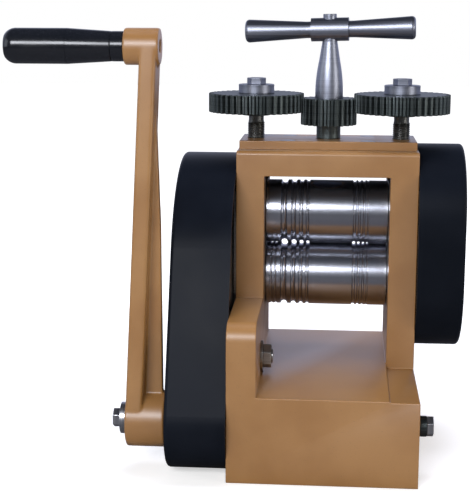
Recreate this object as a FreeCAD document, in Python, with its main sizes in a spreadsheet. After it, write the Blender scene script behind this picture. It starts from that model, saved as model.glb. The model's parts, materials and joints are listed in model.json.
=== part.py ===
import FreeCAD, Part
import Sketcher
import math
import os

# A jeweller's rolling mill: a cast frame with two grooved rolls, a gear train under a cover on the
# left, a pair of roll gears under a cover on the right, two pressing screws geared to a T-handle on
# top, and a crank with a turning grip.
# Millimetres. X is to the right along the rolls, Y is away from the user, Z is up.
# The origin is on the bench face of the base, straight below the rolls' axes, half way along them.

os.makedirs("parts", exist_ok=True)
doc = FreeCAD.newDocument("RollingMill")
sheet = doc.addObject("Spreadsheet::Sheet", "Sizes")

Vector = FreeCAD.Vector
Rotation = FreeCAD.Rotation
Placement = FreeCAD.Placement

# Sizes that can be set by themselves
driving = {
    # Clearances and fits
    "running_fit": 0.05,            # radial, a shaft or screw that turns in its hole
    "seat_fit": 0.02,               # radial, a piece that is fixed on or in another
    "side_play": 1.0,               # between a roll's barrel and the frame, each side
    "end_play": 0.3,                # between flat faces that turn past each other
    "gear_backlash": 0.3,
    "pressure_angle": 20.0,         # degrees
    "gear_clearance": 1.0,          # from a gear's side to the keepers
    "overrun": 1.0,                 # how far a cutter runs past the metal
    "tap_end": 1.0,                 # a tapped hole past the end of its screw
    "thread_proud": 1.5,            # a thread past its nut or clip
    # Rolls
    "roll_diameter": 65.0,
    "barrel_length": 123.0,
    "roll_gap": 0.5,                # between the barrels as drawn
    "roll_lift": 5.0,               # travel of the upper roll
    "journal_diameter": 40.0,
    "roll_seat_diameter": 30.0,     # where the gears are keyed on
    "roll_thread_diameter": 20.0,
    # Frame casting
    "upright_thickness": 28.0,
    "upright_depth": 110.0,
    "slot_room": 5.0,               # over the raised blocks
    "crown_height": 27.5,           # frame over the blocks' slots
    "crossbar_height": 25.0,
    "lower_axis": 170.0,            # height of the lower roll's axis
    "base_ahead": 170.0,            # base in front of the rolls' axes
    "base_behind": 75.0,
    "base_height": 83.5,
    "tray_front": 84.5,
    "tray_ridge": 94.0,
    "cheek_height": 154.0,
    "cheek_round": 17.0,
    "base_wall": 12.0,
    "base_hollow": 68.0,            # height of the hollow under the base
    "shoulder_room": 1.5,           # the hollow's right wall stands back by this
    "base_rib": 16.0,               # cross wall under the uprights
    "casting_round": 4.0,
    # Bearing blocks
    "block_width": 64.0,
    "block_below": 28.0,            # from a roll's axis down to the block's lower face
    "block_above": 30.0,
    "bush_wall": 4.0,
    "pad_diameter": 20.0,
    "pad_thickness": 4.0,
    "pad_sunk": 3.0,
    "spring_diameter": 9.0,
    "spring_bore": 6.0,
    "spring_offset": 25.5,
    "spring_pocket": 8.0,
    "keeper_width": 20.0,
    "keeper_thickness": 3.0,
    "keeper_lap": 5.0,              # over the edge of the block's slot
    "keeper_inset": 14.0,           # in from the slot's lower and upper ends
    "keeper_screw_inset": 12.0,
    # Cap, pressing screws and their gears
    "cap_inset": 1.5,               # in from the frame's sides
    "cap_depth": 72.0,
    "cap_thickness": 8.5,
    "screw_diameter": 18.0,
    "screw_neck_diameter": 15.5,
    "screw_stand": 16.0,            # thread above the cap
    "thread_chamfer": 2.0,
    "gear_hub_diameter": 29.0,
    "gear_hub_height": 3.5,
    "top_gear_stand": 26.5,         # above the cap
    "top_gear_thickness": 19.0,
    "screw_inset": 2.25,            # the pressing screws' axes from the middles of the uprights
    "top_gear_teeth": 42,
    "top_gear_addendum": 0.7,       # in modules
    "top_gear_dedendum": 1.0,
    "pinion_teeth": 24,
    "top_gear_bore": 12.0,
    "collar_diameter": 36.5,
    "collar_height": 9.0,
    "screw_bolt_flats": 17.0,
    "screw_bolt_head": 6.6,
    "screw_bolt_diameter": 8.0,
    "screw_bolt_length": 30.0,
    # T-handle
    "handle_bush_bore": 19.0,
    "handle_bush_outer": 26.0,
    "ring_nut_diameter": 30.0,
    "ring_nut_height": 5.0,
    "ring_nut_room": 1.0,
    "pinion_stand": 14.0,           # above the cap
    "pinion_height": 27.0,
    "pinion_hub_diameter": 24.6,
    "handle_foot_diameter": 28.4,
    "handle_foot_height": 2.0,
    "handle_neck_diameter": 15.2,
    "handle_stand": 110.0,          # the crossbar's axis above the cap
    "handle_hub_diameter": 23.4,
    "handle_hub_length": 38.0,
    "crossbar_span": 172.0,
    "crossbar_waist": 16.6,
    "waist_length": 5.0,
    "crossbar_end": 23.2,
    "crossbar_tail": 10.0,
    "crossbar_round": 4.0,
    "crossbar_lean": 1.5,           # degrees, the cross hole is bored a little out of square
    "crossbar_turn": 4.0,           # degrees about the spindle as drawn
    "swell_rise": 21.5,             # above the pinion
    "slope_rise": 38.5,
    "neck_rise": 57.0,
    "handle_swell_diameter": 26.4,
    "handle_slope_diameter": 21.1,
    "lock_screw_diameter": 13.6,
    "lock_screw_head": 6.0,
    "lock_screw_seat": 9.5,         # above the crossbar's axis
    "lock_screw_shank": 6.0,
    "spindle_thread_diameter": 16.0,
    # Gear train on the left
    "drive_module": 3.0,
    "roll_gear_teeth": 58,
    "idler_pinion_teeth": 16,
    "idler_gear_teeth": 26,
    "crank_pinion_teeth": 20,
    "slow_gear_width": 18.0,
    "fast_gear_width": 15.0,
    "gear_plane_gap": 4.0,
    "stub_addendum": 0.8,           # in modules
    "stub_dedendum": 1.05,
    "idler_hub_radius": 20.0,
    "crank_hub_radius": 18.0,
    "stud_clip_thickness": 3.0,
    "stud_clip_diameter": 30.0,
    "roll_to_idler_angle": 53.0,    # degrees from straight down, leaning to the front
    "idler_to_crank_angle": 38.8,
    "idler_stud_diameter": 20.0,
    "idler_bush_wall": 3.0,
    "stud_thread_diameter": 14.0,
    "stud_flange_diameter": 32.0,
    "stud_nut_flats": 21.0,
    "stud_nut_height": 8.0,
    "stud_washer_diameter": 30.4,
    "stud_washer_thickness": 2.5,
    "end_nut_flats": 30.0,
    "end_nut_height": 10.0,
    # Roll gears on the right
    "roll_gear_module": 4.0,
    "coupling_teeth": 16,
    "coupling_width": 25.0,
    "coupling_addendum": 4.3,
    "coupling_dedendum": 4.2,
    "end_washer_diameter": 32.0,
    "end_washer_thickness": 3.0,
    "end_bolt_diameter": 10.0,
    "end_bolt_length": 22.0,
    "end_bolt_flats": 17.0,
    "end_bolt_head": 6.5,
    # Covers
    "drive_cover_depth": 58.5,
    "drive_cover_radius": 125.0,
    "drive_cover_lobe": 46.0,
    "roll_cover_depth": 46.5,
    "roll_cover_radius": 71.5,
    "cover_wall": 4.0,
    "cover_round": 4.0,
    "post_radius": 7.0,
    "cover_screw_diameter": 6.0,
    "cover_screw_head": 10.0,
    "cover_screw_head_height": 6.0,
    # Crank
    "crank_shaft_diameter": 24.0,
    "crank_tail_diameter": 18.0,
    "crank_bush_wall": 4.0,
    "crank_seat_diameter": 22.0,
    "shaft_hole_room": 0.5,
    "shaft_short": 1.0,             # the shaft ends this far inside the hub
    "hub_gap": 2.0,                 # from the drive gear cover to the crank's hub
    "hub_length": 38.0,
    "hub_diameter": 54.0,
    "crank_radius": 358.0,
    "arm_thickness": 16.0,
    "arm_foot_width": 48.0,
    "arm_head_width": 34.0,
    "arm_head_inset": 16.6,         # how far the arm leans in at its head
    "arm_rib": 10.0,
    "arm_round": 3.0,
    "boss_gap": 6.0,                # from the same cover to the grip's boss
    "boss_length": 33.0,
    "boss_diameter": 34.0,
    "crank_bolt_diameter": 10.0,
    "crank_bolt_flats": 16.5,
    "crank_bolt_head": 7.5,
    "crank_washer_diameter": 30.6,
    "crank_washer_thickness": 6.6,
    "tail_washer_diameter": 20.0,
    "tail_washer_thickness": 6.4,
    "tail_bolt_flats": 17.5,
    "tail_bolt_head": 6.4,
    "tail_stand": 2.5,              # the shaft's tail past the frame
    "crank_bolt_length": 30.0,
    "ferrule_diameter": 27.8,
    "ferrule_length": 12.1,
    "grip_diameter": 33.0,
    "grip_neck_diameter": 27.8,
    "grip_sleeve_length": 41.0,
    "grip_end_length": 58.4,
    "grip_spindle_diameter": 12.0,
    "grip_spindle_head": 18.0,
    "grip_head_length": 6.0,
    "grip_sink_depth": 8.0,
    "spindle_inset": 1.6,
    "grip_spigot_radius": 12.0,
    "grip_spigot": 6.0,
    "grip_dome": 10.0,
    "grip_drop": 5.0,               # how much smaller the grip's tip is than its side
    "cover_sink_depth": 6.5,
    "rib_foot_gap": 5.3,            # from the same cover to the arm's rib, at three heights
    "rib_middle_gap": 6.6,
    "rib_head_gap": 10.0,
    "rib_bend_drop": 168.0,         # below the grip's axis
    "rib_top_drop": 60.0,
    "rib_slope": 4.0,
    # Fasteners
    "cap_screw_x": 40.0,
    "cap_screw_y": 26.0,
    "cap_screw_diameter": 8.0,
    "cap_screw_head": 15.0,
    "cap_screw_head_height": 4.4,
    "cap_screw_length": 25.0,
    "keeper_screw_diameter": 5.0,
    "keeper_screw_head": 8.0,
    "keeper_screw_head_height": 2.0,
    "keeper_screw_length": 13.0,
    "cover_screw_grip": 12.0,
    "drive_post_y": 35.0,           # the covers' posts
    "drive_post_rise": 108.0,       # above the lower roll's axis
    "cheek_post_y": 133.0,
    "cheek_post_rise": 90.5,        # above the crank's axis
    "foot_post_y": 60.0,
    "foot_post_drop": 4.5,          # below the crank's axis
    "rear_post_y": 60.0,
    "rear_post_drop": 96.0,         # below the lower roll's axis
    "roll_post_y": 44.0,
    "roll_post_drop": 35.0,         # below the lower roll's axis
    "roll_post_rise": 35.5,         # above the upper roll's axis
    # Bench mount
    "mount_inset": 12.5,            # holes in from the frame's sides
    "mount_end_inset": 20.0,        # and from the ends of the base
    "mount_hole_diameter": 8.5,
    "mount_hole_depth": 22.0,
}

# The rolls' grooves, as place along the barrel and radius; the first two are on the lower roll only
GROOVES = [
    (-56.5, 1.2), (-52.1, 1.2), (-43.6, 3.35), (-33.8, 2.7), (-26.0, 2.15),
    (-19.4, 1.75), (28.2, 1.75), (33.0, 1.5), (37.7, 1.3), (41.9, 1.0),
]
for i, (at, radius) in enumerate(GROOVES):
    driving["groove_%d_at" % i] = at
    driving["groove_%d_radius" % i] = radius

# Sizes worked out from them by the sheet
derived = {
    "roll_radius": "roll_diameter / 2",
    "barrel_half": "barrel_length / 2",
    "journal_radius": "journal_diameter / 2",
    "seat_radius": "roll_seat_diameter / 2",
    "thread_radius": "roll_thread_diameter / 2",
    "groove_level": "roll_radius + roll_gap / 2",
    "roll_spacing": "roll_diameter + roll_gap",
    "upper_axis": "lower_axis + roll_spacing",
    "window_half": "barrel_half + side_play",
    "frame_half": "window_half + upright_thickness",
    "frame_width": "2 * frame_half",
    "upright_half": "upright_depth / 2",
    "hollow_right": "window_half + shoulder_room",
    "hollow_front": "base_ahead - base_wall",
    "hollow_back": "base_behind - base_wall",
    "rib_half": "base_rib / 2",
    # Blocks
    "block_half": "block_width / 2 - running_fit",
    "slot_half": "block_width / 2",
    "slot_bottom": "lower_axis - block_below",
    "lower_block_top": "lower_axis + block_above",
    "upper_block_bottom": "upper_axis - block_below",
    "upper_block_top": "upper_axis + block_above",
    "slot_top": "upper_block_top + roll_lift + slot_room",
    "frame_height": "slot_top + crown_height",
    "crossbar_bottom": "frame_height - crossbar_height",
    "cap_top": "frame_height + cap_thickness",
    "bush_outer": "journal_radius + bush_wall",
    "bush_bore": "journal_radius + running_fit",
    "bush_seat": "bush_outer + seat_fit",
    "block_length": "upright_thickness - running_fit",
    "block_outer": "window_half + block_length",
    "block_middle": "window_half + upright_thickness / 2",
    "spring_radius": "spring_diameter / 2",
    "spring_hole": "spring_bore / 2",
    "spring_seat": "spring_radius + end_play",
    "spring_bottom": "lower_block_top - spring_pocket",
    "spring_top": "upper_block_bottom + spring_pocket",
    "spring_length": "spring_top - spring_bottom",
    "pad_radius": "pad_diameter / 2",
    "pad_seat": "pad_radius + seat_fit",
    "pad_bottom": "upper_block_top - pad_sunk",
    "pad_top": "pad_bottom + pad_thickness",
    "keeper_inner": "slot_half - keeper_lap",
    "keeper_outer": "keeper_inner + keeper_width",
    "keeper_bottom": "slot_bottom + keeper_inset",
    "keeper_top": "slot_top - keeper_inset",
    "keeper_face": "frame_half + keeper_thickness",
    "keeper_middle": "(slot_half + keeper_outer) / 2",
    "keeper_screw_low": "keeper_bottom + keeper_screw_inset",
    "keeper_screw_high": "keeper_top - keeper_screw_inset",
    "keeper_screw_tap": "keeper_screw_diameter / 2",
    "keeper_screw_hole": "keeper_screw_diameter / 2",
    "keeper_screw_radius": "keeper_screw_hole - seat_fit",
    "keeper_screw_head_radius": "keeper_screw_head / 2",
    "keeper_screw_sink": "keeper_screw_head_radius + seat_fit",
    "keeper_screw_seat": "keeper_face - keeper_screw_head_height",
    # Cap and bench holes
    "cap_half": "frame_half - cap_inset",
    "cap_half_depth": "cap_depth / 2",
    "cap_screw_hole": "cap_screw_diameter / 2",
    "cap_screw_radius": "cap_screw_hole - seat_fit",
    "cap_screw_head_radius": "cap_screw_head / 2",
    "cap_screw_sink": "cap_screw_head_radius + seat_fit",
    "mount_x": "frame_half - mount_inset",
    "mount_front": "mount_end_inset - base_ahead",
    "mount_back": "base_behind - mount_end_inset",
    "mount_radius": "mount_hole_diameter / 2",
    # Pressing screws and handle
    "screw_radius": "screw_diameter / 2",
    "screw_hole": "screw_radius + running_fit",
    "screw_neck_radius": "screw_neck_diameter / 2",
    "screw_thread_top": "cap_top + screw_stand",
    "screw_shoulder": "screw_thread_top + thread_chamfer",
    "screw_stem": "top_gear_bore / 2 - seat_fit",
    "screw_bolt_radius": "screw_bolt_diameter / 2 - seat_fit",
    "screw_bolt_hole": "screw_bolt_diameter / 2",
    "screw_offset": "block_middle - screw_inset",
    "top_gear_module": "2 * screw_offset / (top_gear_teeth + pinion_teeth)",
    "top_gear_bottom": "cap_top + top_gear_stand",
    "top_gear_top": "top_gear_bottom + top_gear_thickness",
    "gear_hub_bottom": "top_gear_bottom - gear_hub_height",
    "collar_top": "top_gear_top + collar_height",
    "pinion_bottom": "cap_top + pinion_stand",
    "pinion_top": "pinion_bottom + pinion_height",
    "handle_foot_top": "pinion_top + handle_foot_height",
    "handle_swell": "pinion_top + swell_rise",
    "handle_slope": "pinion_top + slope_rise",
    "handle_neck": "pinion_top + neck_rise",
    "handle_axis": "cap_top + handle_stand",
    "ring_nut_top": "crossbar_bottom + ring_nut_height + end_play",
    "handle_bush_bottom": "ring_nut_top + end_play",
    "handle_bush_radius": "handle_bush_outer / 2",
    "handle_bush_hole": "handle_bush_bore / 2",
    "handle_journal": "handle_bush_hole - running_fit",
    "ring_nut_radius": "ring_nut_diameter / 2",
    "ring_nut_hole": "ring_nut_radius + ring_nut_room",
    "ring_nut_bottom": "crossbar_bottom + end_play",
    "spindle_thread_radius": "spindle_thread_diameter / 2",
    "pinion_hub_bottom": "cap_top + end_play",
    "pinion_hub_radius": "pinion_hub_diameter / 2",
    "handle_foot_radius": "handle_foot_diameter / 2",
    "handle_neck_radius": "handle_neck_diameter / 2",
    "handle_swell_radius": "handle_swell_diameter / 2",
    "handle_slope_radius": "handle_slope_diameter / 2",
    "handle_hub_radius": "handle_hub_diameter / 2",
    "handle_hub_half": "handle_hub_length / 2",
    "crossbar_hole": "crossbar_tail / 2",
    "crossbar_tail_radius": "crossbar_hole - seat_fit",
    "crossbar_waist_radius": "crossbar_waist / 2",
    "crossbar_waist_end": "handle_hub_half + waist_length",
    "crossbar_end_radius": "crossbar_end / 2",
    "crossbar_half": "crossbar_span / 2",
    "crossbar_shoulder": "crossbar_half - crossbar_round",
    "crossbar_flat": "crossbar_end_radius - crossbar_round",
    "crossbar_dome": "crossbar_shoulder + crossbar_round * sin(45 deg)",
    "crossbar_dome_radius": "crossbar_flat + crossbar_round * cos(45 deg)",
    "lock_screw_radius": "lock_screw_diameter / 2",
    "lock_screw_sink": "lock_screw_radius + seat_fit",
    "lock_screw_hole": "lock_screw_shank / 2",
    "lock_screw_stem": "lock_screw_hole - seat_fit",
    "lock_screw_length": "lock_screw_seat - crossbar_hole - seat_fit",
    "collar_radius": "collar_diameter / 2",
    "gear_hub_radius": "gear_hub_diameter / 2",
    "stem_top": "top_gear_top - end_play",
    "stem_tap_bottom": "collar_top - screw_bolt_length - tap_end",
    # Gear train, in the plane of the covers
    "slow_distance": "drive_module * (roll_gear_teeth + idler_pinion_teeth) / 2",
    "fast_distance": "drive_module * (idler_gear_teeth + crank_pinion_teeth) / 2",
    "idler_y": "-slow_distance * sin(roll_to_idler_angle * 1 deg)",
    "idler_z": "lower_axis - slow_distance * cos(roll_to_idler_angle * 1 deg)",
    "crank_y": "idler_y - fast_distance * sin(idler_to_crank_angle * 1 deg)",
    "crank_z": "idler_z - fast_distance * cos(idler_to_crank_angle * 1 deg)",
    "slow_gear_start": "keeper_face + gear_clearance",
    "slow_gear_end": "slow_gear_start + slow_gear_width",
    "fast_gear_start": "slow_gear_end + gear_plane_gap",
    "fast_gear_end": "fast_gear_start + fast_gear_width",
    "stud_radius": "idler_stud_diameter / 2",
    "idler_bush_bore": "stud_radius + running_fit",
    "idler_bush_outer": "stud_radius + idler_bush_wall",
    "stud_flange_end": "frame_half + keeper_thickness",
    "stud_flange_radius": "stud_flange_diameter / 2",
    "stud_washer_radius": "stud_washer_diameter / 2",
    "stud_clip_radius": "stud_clip_diameter / 2",
    "stud_clip_start": "fast_gear_end + end_play",
    "stud_clip_end": "stud_clip_start + stud_clip_thickness",
    "stud_end": "stud_clip_end + thread_proud",
    "idler_bush_start": "stud_flange_end + end_play",
    "stud_thread_hole": "stud_thread_diameter / 2",
    "stud_thread_radius": "stud_thread_hole - seat_fit",
    "stud_thread_end": "stud_nut_face - thread_proud",
    "stud_washer_face": "window_half - stud_washer_thickness",
    "stud_nut_face": "stud_washer_face - stud_nut_height",
    "coupling_start": "keeper_face + gear_clearance",
    "coupling_end": "coupling_start + coupling_width",
    "end_washer_end": "coupling_end + end_washer_thickness",
    "end_washer_radius": "end_washer_diameter / 2",
    "end_bolt_hole": "end_bolt_diameter / 2",
    "end_bolt_radius": "end_bolt_hole - seat_fit",
    "roll_thread_end": "slow_gear_end + end_nut_height + thread_proud",
    "crank_hub_stop": "frame_half + end_play",
    # Covers
    "drive_cover_face": "frame_half + drive_cover_depth",
    "drive_cover_inner": "drive_cover_radius - cover_wall",
    "drive_lobe_inner": "drive_cover_lobe - cover_wall",
    "roll_cover_face": "frame_half + roll_cover_depth",
    "roll_cover_inner": "roll_cover_radius - cover_wall",
    "cheek_post_z": "crank_z + cheek_post_rise",
    "foot_post_z": "crank_z - foot_post_drop",
    "drive_post_z": "lower_axis + drive_post_rise",
    "rear_post_z": "lower_axis - rear_post_drop",
    "roll_post_low": "lower_axis - roll_post_drop",
    "roll_post_high": "upper_axis + roll_post_rise",
    "cover_tap_depth": "cover_screw_grip + tap_end",
    "cover_screw_tap": "cover_screw_diameter / 2",
    "cover_screw_radius": "cover_screw_tap - seat_fit",
    "cover_screw_hole": "cover_screw_tap + end_play",
    "cover_screw_head_radius": "cover_screw_head / 2",
    "cover_screw_sink": "cover_screw_head_radius + end_play",
    "drive_screw_seat": "drive_cover_face - cover_sink_depth",
    "drive_screw_length": "drive_cover_depth - cover_sink_depth + cover_screw_grip",
    "roll_screw_seat": "roll_cover_face - cover_sink_depth",
    "roll_screw_length": "roll_cover_depth - cover_sink_depth + cover_screw_grip",
    "drive_cover_hollow": "drive_cover_depth - cover_wall",
    "roll_cover_hollow": "roll_cover_depth - cover_wall",
    "cover_shaft_hole": "shaft_radius + shaft_hole_room",
    # Crank
    "shaft_radius": "crank_shaft_diameter / 2",
    "tail_radius": "crank_tail_diameter / 2",
    "crank_seat_radius": "crank_seat_diameter / 2",
    "crank_bush_outer": "shaft_radius + crank_bush_wall",
    "tail_bush_outer": "tail_radius + crank_bush_wall",
    "shaft_bush_bore": "shaft_radius + running_fit",
    "tail_bush_bore": "tail_radius + running_fit",
    "hub_start": "drive_cover_face + hub_gap",
    "hub_end": "hub_start + hub_length",
    "hub_radius": "hub_diameter / 2",
    "boss_start": "drive_cover_face + boss_gap",
    "boss_end": "boss_start + boss_length",
    "boss_radius": "boss_diameter / 2",
    "grip_z": "crank_z + crank_radius",
    "ferrule_end": "boss_end + ferrule_length",
    "sleeve_start": "ferrule_end + end_play",
    "sleeve_end": "sleeve_start + grip_sleeve_length",
    "grip_tip": "sleeve_end + grip_end_length",
    "grip_bore": "grip_spindle_diameter / 2 + running_fit",
    "grip_spindle_radius": "grip_spindle_diameter / 2",
    "shaft_left_end": "hub_end - shaft_short",
    "tail_shoulder": "hollow_right - end_play",
    "tail_end": "frame_half + tail_stand",
    "tail_washer_end": "tail_end + tail_washer_thickness",
    "tail_washer_radius": "tail_washer_diameter / 2",
    "crank_washer_end": "hub_end + crank_washer_thickness",
    "crank_washer_radius": "crank_washer_diameter / 2",
    "crank_bolt_hole": "crank_bolt_diameter / 2",
    "crank_bolt_radius": "crank_bolt_hole - seat_fit",
    "crank_tap_end": "crank_washer_end - crank_bolt_length - tap_end",
    "tail_tap_end": "tail_washer_end - crank_bolt_length - tap_end",
    "arm_foot_half": "arm_foot_width / 2",
    "arm_head_half": "arm_head_width / 2",
    "arm_foot_inner": "hub_end - arm_thickness",
    "arm_head_outer": "hub_end - arm_head_inset",
    "arm_head_inner": "arm_head_outer - arm_thickness",
    "arm_side": "arm_foot_half + overrun",
    "arm_top": "crank_radius + overrun",
    "arm_cut_start": "hub_end + overrun",
    "arm_taper_depth": "hub_length + overrun",
    "arm_bore_depth": "hub_length + 2 * overrun",
    "rib_foot": "drive_cover_face + rib_foot_gap",
    "rib_middle": "drive_cover_face + rib_middle_gap",
    "rib_head": "drive_cover_face + rib_head_gap",
    "rib_bend": "crank_radius - rib_bend_drop",
    "rib_top": "crank_radius - rib_top_drop",
    "rib_root_top": "rib_top + rib_slope",
    "rib_root_foot": "hub_end - arm_thickness / 2",
    "rib_root_head": "rib_root_foot - arm_head_inset",
    "ferrule_radius": "ferrule_diameter / 2",
    "grip_radius": "grip_diameter / 2",
    "grip_neck_radius": "grip_neck_diameter / 2",
    "grip_head_radius": "grip_spindle_head / 2",
    "grip_sink": "grip_head_radius + end_play",
    "grip_sink_start": "sleeve_end - grip_sink_depth",
    "grip_head_start": "grip_sink_start + end_play",
    "grip_head_end": "grip_head_start + grip_head_length",
    "grip_spigot_end": "sleeve_end + grip_spigot",
    "grip_socket_radius": "grip_spigot_radius + seat_fit",
    "grip_socket_end": "grip_spigot_end + end_play",
    "grip_dome_start": "grip_tip - grip_dome",
    "grip_flat": "grip_radius - grip_drop",
    "grip_arc": "(grip_dome ^ 2 + grip_drop ^ 2) / (2 * grip_drop)",
    "grip_dome_middle": "grip_dome_start + grip_arc * sin(asin(grip_dome / grip_arc) / 2)",
    "grip_dome_radius": "grip_radius - grip_arc * (1 - cos(asin(grip_dome / grip_arc) / 2))",
    "spindle_inner_end": "boss_start + spindle_inset",
}

row = 0
for name, value in list(driving.items()) + list(derived.items()):
    row += 1
    sheet.set("A%d" % row, name)
    sheet.setAlias("B%d" % row, name)
    sheet.set("B%d" % row, ("=" + value) if isinstance(value, str) else str(value))
doc.recompute()


def size(name):
    """A size of the sheet, as a plain number."""
    return float(getattr(sheet, name))


def number(text):
    """Value of a sum of sizes and plain numbers, such as "-frame_half + overrun"."""
    total, sign = 0.0, 1
    for word in text.replace("-", " - ").replace("+", " + ").split():
        if word in "+-":
            sign = -1 if word == "-" else 1
        else:
            total += sign * (float(word) if word[0].isdigit() else size(word))
            sign = 1
    return total


def formula(text):
    """The same sum, as an expression on the sheet."""
    words = text.replace("-", " - ").replace("+", " + ").split()
    return " ".join(w if w in "+-" or w[0].isdigit() else "Sizes." + w for w in words)


def bind(thing, prop, text):
    thing.setExpression(prop, formula(text))


parts = []


def keep(thing, label):
    """Name an object as a sub-part of the mill."""
    thing.Label = label
    parts.append(thing)
    return thing


def place(thing, at, turn=None):
    """Put an object at three sums of sizes."""
    thing.Placement = Placement(Vector(*[number(c) for c in at]), turn or Rotation())
    for axis, text in zip("xyz", at):
        bind(thing, "Placement.Base." + axis, text)


# Sketches

def sketch_on(body, plane, offset="0", name="sketch"):
    sketch = body.newObject("Sketcher::SketchObject", name)
    origin = [f for f in body.Origin.OriginFeatures if f.Role == plane][0]
    sketch.AttachmentSupport = [(origin, "")]
    sketch.MapMode = "FlatFace"
    if offset != "0":
        bind(sketch, "AttachmentOffset.Base.z", offset)
    return sketch


def pin(sketch, geometry, point, x, y):
    """Hold a point at two sums of sizes."""
    for kind, text, axis in (("DistanceX", x, -2), ("DistanceY", y, -1)):
        value = number(text)
        if abs(value) < 1e-9:
            sketch.addConstraint(Sketcher.Constraint("PointOnObject", geometry, point, axis))
            continue
        if value > 0:
            limit = Sketcher.Constraint(kind, -1, 1, geometry, point, value)
            rule = formula(text)
        else:
            limit = Sketcher.Constraint(kind, geometry, point, -1, 1, -value)
            rule = "-(" + formula(text) + ")"
        index = sketch.addConstraint(limit)
        sketch.setExpression("Constraints[%d]" % index, rule)


def outline(sketch, points):
    """A closed outline. A point with a third word is passed by an arc between its neighbours."""
    corners = [p for p in points if len(p) == 2]
    spots = {p: Vector(number(p[0]), number(p[1]), 0) for p in points}
    sides = []
    for i, start in enumerate(corners):
        end = corners[(i + 1) % len(corners)]
        after = points[(points.index(start) + 1) % len(points)]
        if len(after) == 3:
            side = sketch.addGeometry(Part.Arc(spots[start], spots[after], spots[end]))
            onward = (sketch.getPoint(side, 1) - spots[start]).Length < 1e-6
            sides.append((side, 1 if onward else 2, 2 if onward else 1))
            mark = sketch.addGeometry(Part.Point(spots[after]), True)
            pin(sketch, mark, 1, after[0], after[1])
            sketch.addConstraint(Sketcher.Constraint("PointOnObject", mark, 1, side))
        else:
            sides.append((sketch.addGeometry(Part.LineSegment(spots[start], spots[end])), 1, 2))
    for i, (side, start, end) in enumerate(sides):
        following = sides[(i + 1) % len(sides)]
        sketch.addConstraint(Sketcher.Constraint("Coincident", side, end, following[0], following[1]))
    for (side, start, end), corner in zip(sides, corners):
        pin(sketch, side, start, corner[0], corner[1])


def circle(sketch, x, y, radius):
    centre = Vector(number(x), number(y), 0)
    geometry = sketch.addGeometry(Part.Circle(centre, Vector(0, 0, 1), number(radius)))
    index = sketch.addConstraint(Sketcher.Constraint("Radius", geometry, number(radius)))
    bind(sketch, "Constraints[%d]" % index, radius)
    pin(sketch, geometry, 3, x, y)


def box_outline(sketch, x0, y0, x1, y1):
    outline(sketch, [(x0, y0), (x1, y0), (x1, y1), (x0, y1)])


def belt_outline(sketch, first, first_radius, second, second_radius):
    """Two arcs joined by their two outer tangents, like a belt round two wheels."""
    c1 = Vector(number(first[0]), number(first[1]), 0)
    c2 = Vector(number(second[0]), number(second[1]), 0)
    r1, r2 = number(first_radius), number(second_radius)
    heading = math.atan2(c2.y - c1.y, c2.x - c1.x)
    spread = math.acos((r1 - r2) / (c2 - c1).Length)
    normals = [heading + spread, heading - spread]

    def rim(centre, radius, angle):
        return centre + Vector(radius * math.cos(angle), radius * math.sin(angle), 0)

    side = [(rim(c1, r1, a), rim(c2, r2, a)) for a in normals]
    up = Vector(0, 0, 1)
    big = sketch.addGeometry(Part.ArcOfCircle(Part.Circle(c1, up, r1), normals[0], normals[1] + 2 * math.pi))
    small = sketch.addGeometry(Part.ArcOfCircle(Part.Circle(c2, up, r2), normals[1], normals[0]))
    left = sketch.addGeometry(Part.LineSegment(side[0][1], side[0][0]))
    right = sketch.addGeometry(Part.LineSegment(side[1][0], side[1][1]))
    for joint in ((left, 2, big, 1), (big, 2, right, 1), (right, 2, small, 1), (small, 2, left, 1)):
        sketch.addConstraint(Sketcher.Constraint("Tangent", *joint))
    for geometry, radius, centre in ((big, first_radius, first), (small, second_radius, second)):
        index = sketch.addConstraint(Sketcher.Constraint("Radius", geometry, number(radius)))
        bind(sketch, "Constraints[%d]" % index, radius)
        pin(sketch, geometry, 3, centre[0], centre[1])


# Features of a body

def pad(body, sketch, length, back=False, name="pad"):
    feature = body.newObject("PartDesign::Pad", name)
    feature.Profile = sketch
    feature.Length = number(length)
    bind(feature, "Length", length)
    feature.Reversed = back
    doc.recompute()
    return feature


def pocket(body, sketch, depth, forward=True, name="pocket"):
    """Cut along the sketch's normal when forward, and against it otherwise."""
    before = body.Shape.Volume
    feature = body.newObject("PartDesign::Pocket", name)
    feature.Profile = sketch
    feature.Length = number(depth)
    bind(feature, "Length", depth)
    feature.Reversed = forward
    doc.recompute()
    if body.Shape.Volume > before - 0.01:
        raise RuntimeError("%s: a pocket cut nothing" % body.Label)
    return feature


def round_edges(body, radius, chosen, name="fillet"):
    """Round the edges of the body's last feature that a test picks."""
    last = body.Tip
    names = ["Edge%d" % (i + 1) for i, edge in enumerate(last.Shape.Edges) if chosen(edge)]
    if not names:
        raise RuntimeError("%s: no edge to round" % body.Label)
    feature = body.newObject("PartDesign::Fillet", name)
    feature.Base = (last, names)
    feature.Radius = number(radius)
    bind(feature, "Radius", radius)
    doc.recompute()
    return feature


def turned(label, points, along="X", at=("0", "0", "0"), turn=None):
    """A piece made on the lathe. Points are (along, radius) for X and (radius, height) for Z."""
    body = doc.addObject("PartDesign::Body", label)
    sketch = sketch_on(body, "XZ_Plane", name=label + "_section")
    outline(sketch, points)
    feature = body.newObject("PartDesign::Revolution", label + "_turning")
    feature.Profile = sketch
    feature.ReferenceAxis = (sketch, ["H_Axis" if along == "X" else "V_Axis"])
    feature.Angle = 360
    place(body, at, turn)
    doc.recompute()
    return keep(body, label)


def ring(label, start, end, inner, outer, along="X", at=("0", "0", "0")):
    if along == "X":
        points = [(start, inner), (end, inner), (end, outer), (start, outer)]
    else:
        points = [(inner, start), (outer, start), (outer, end), (inner, end)]
    return turned(label, points, along, at)


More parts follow.
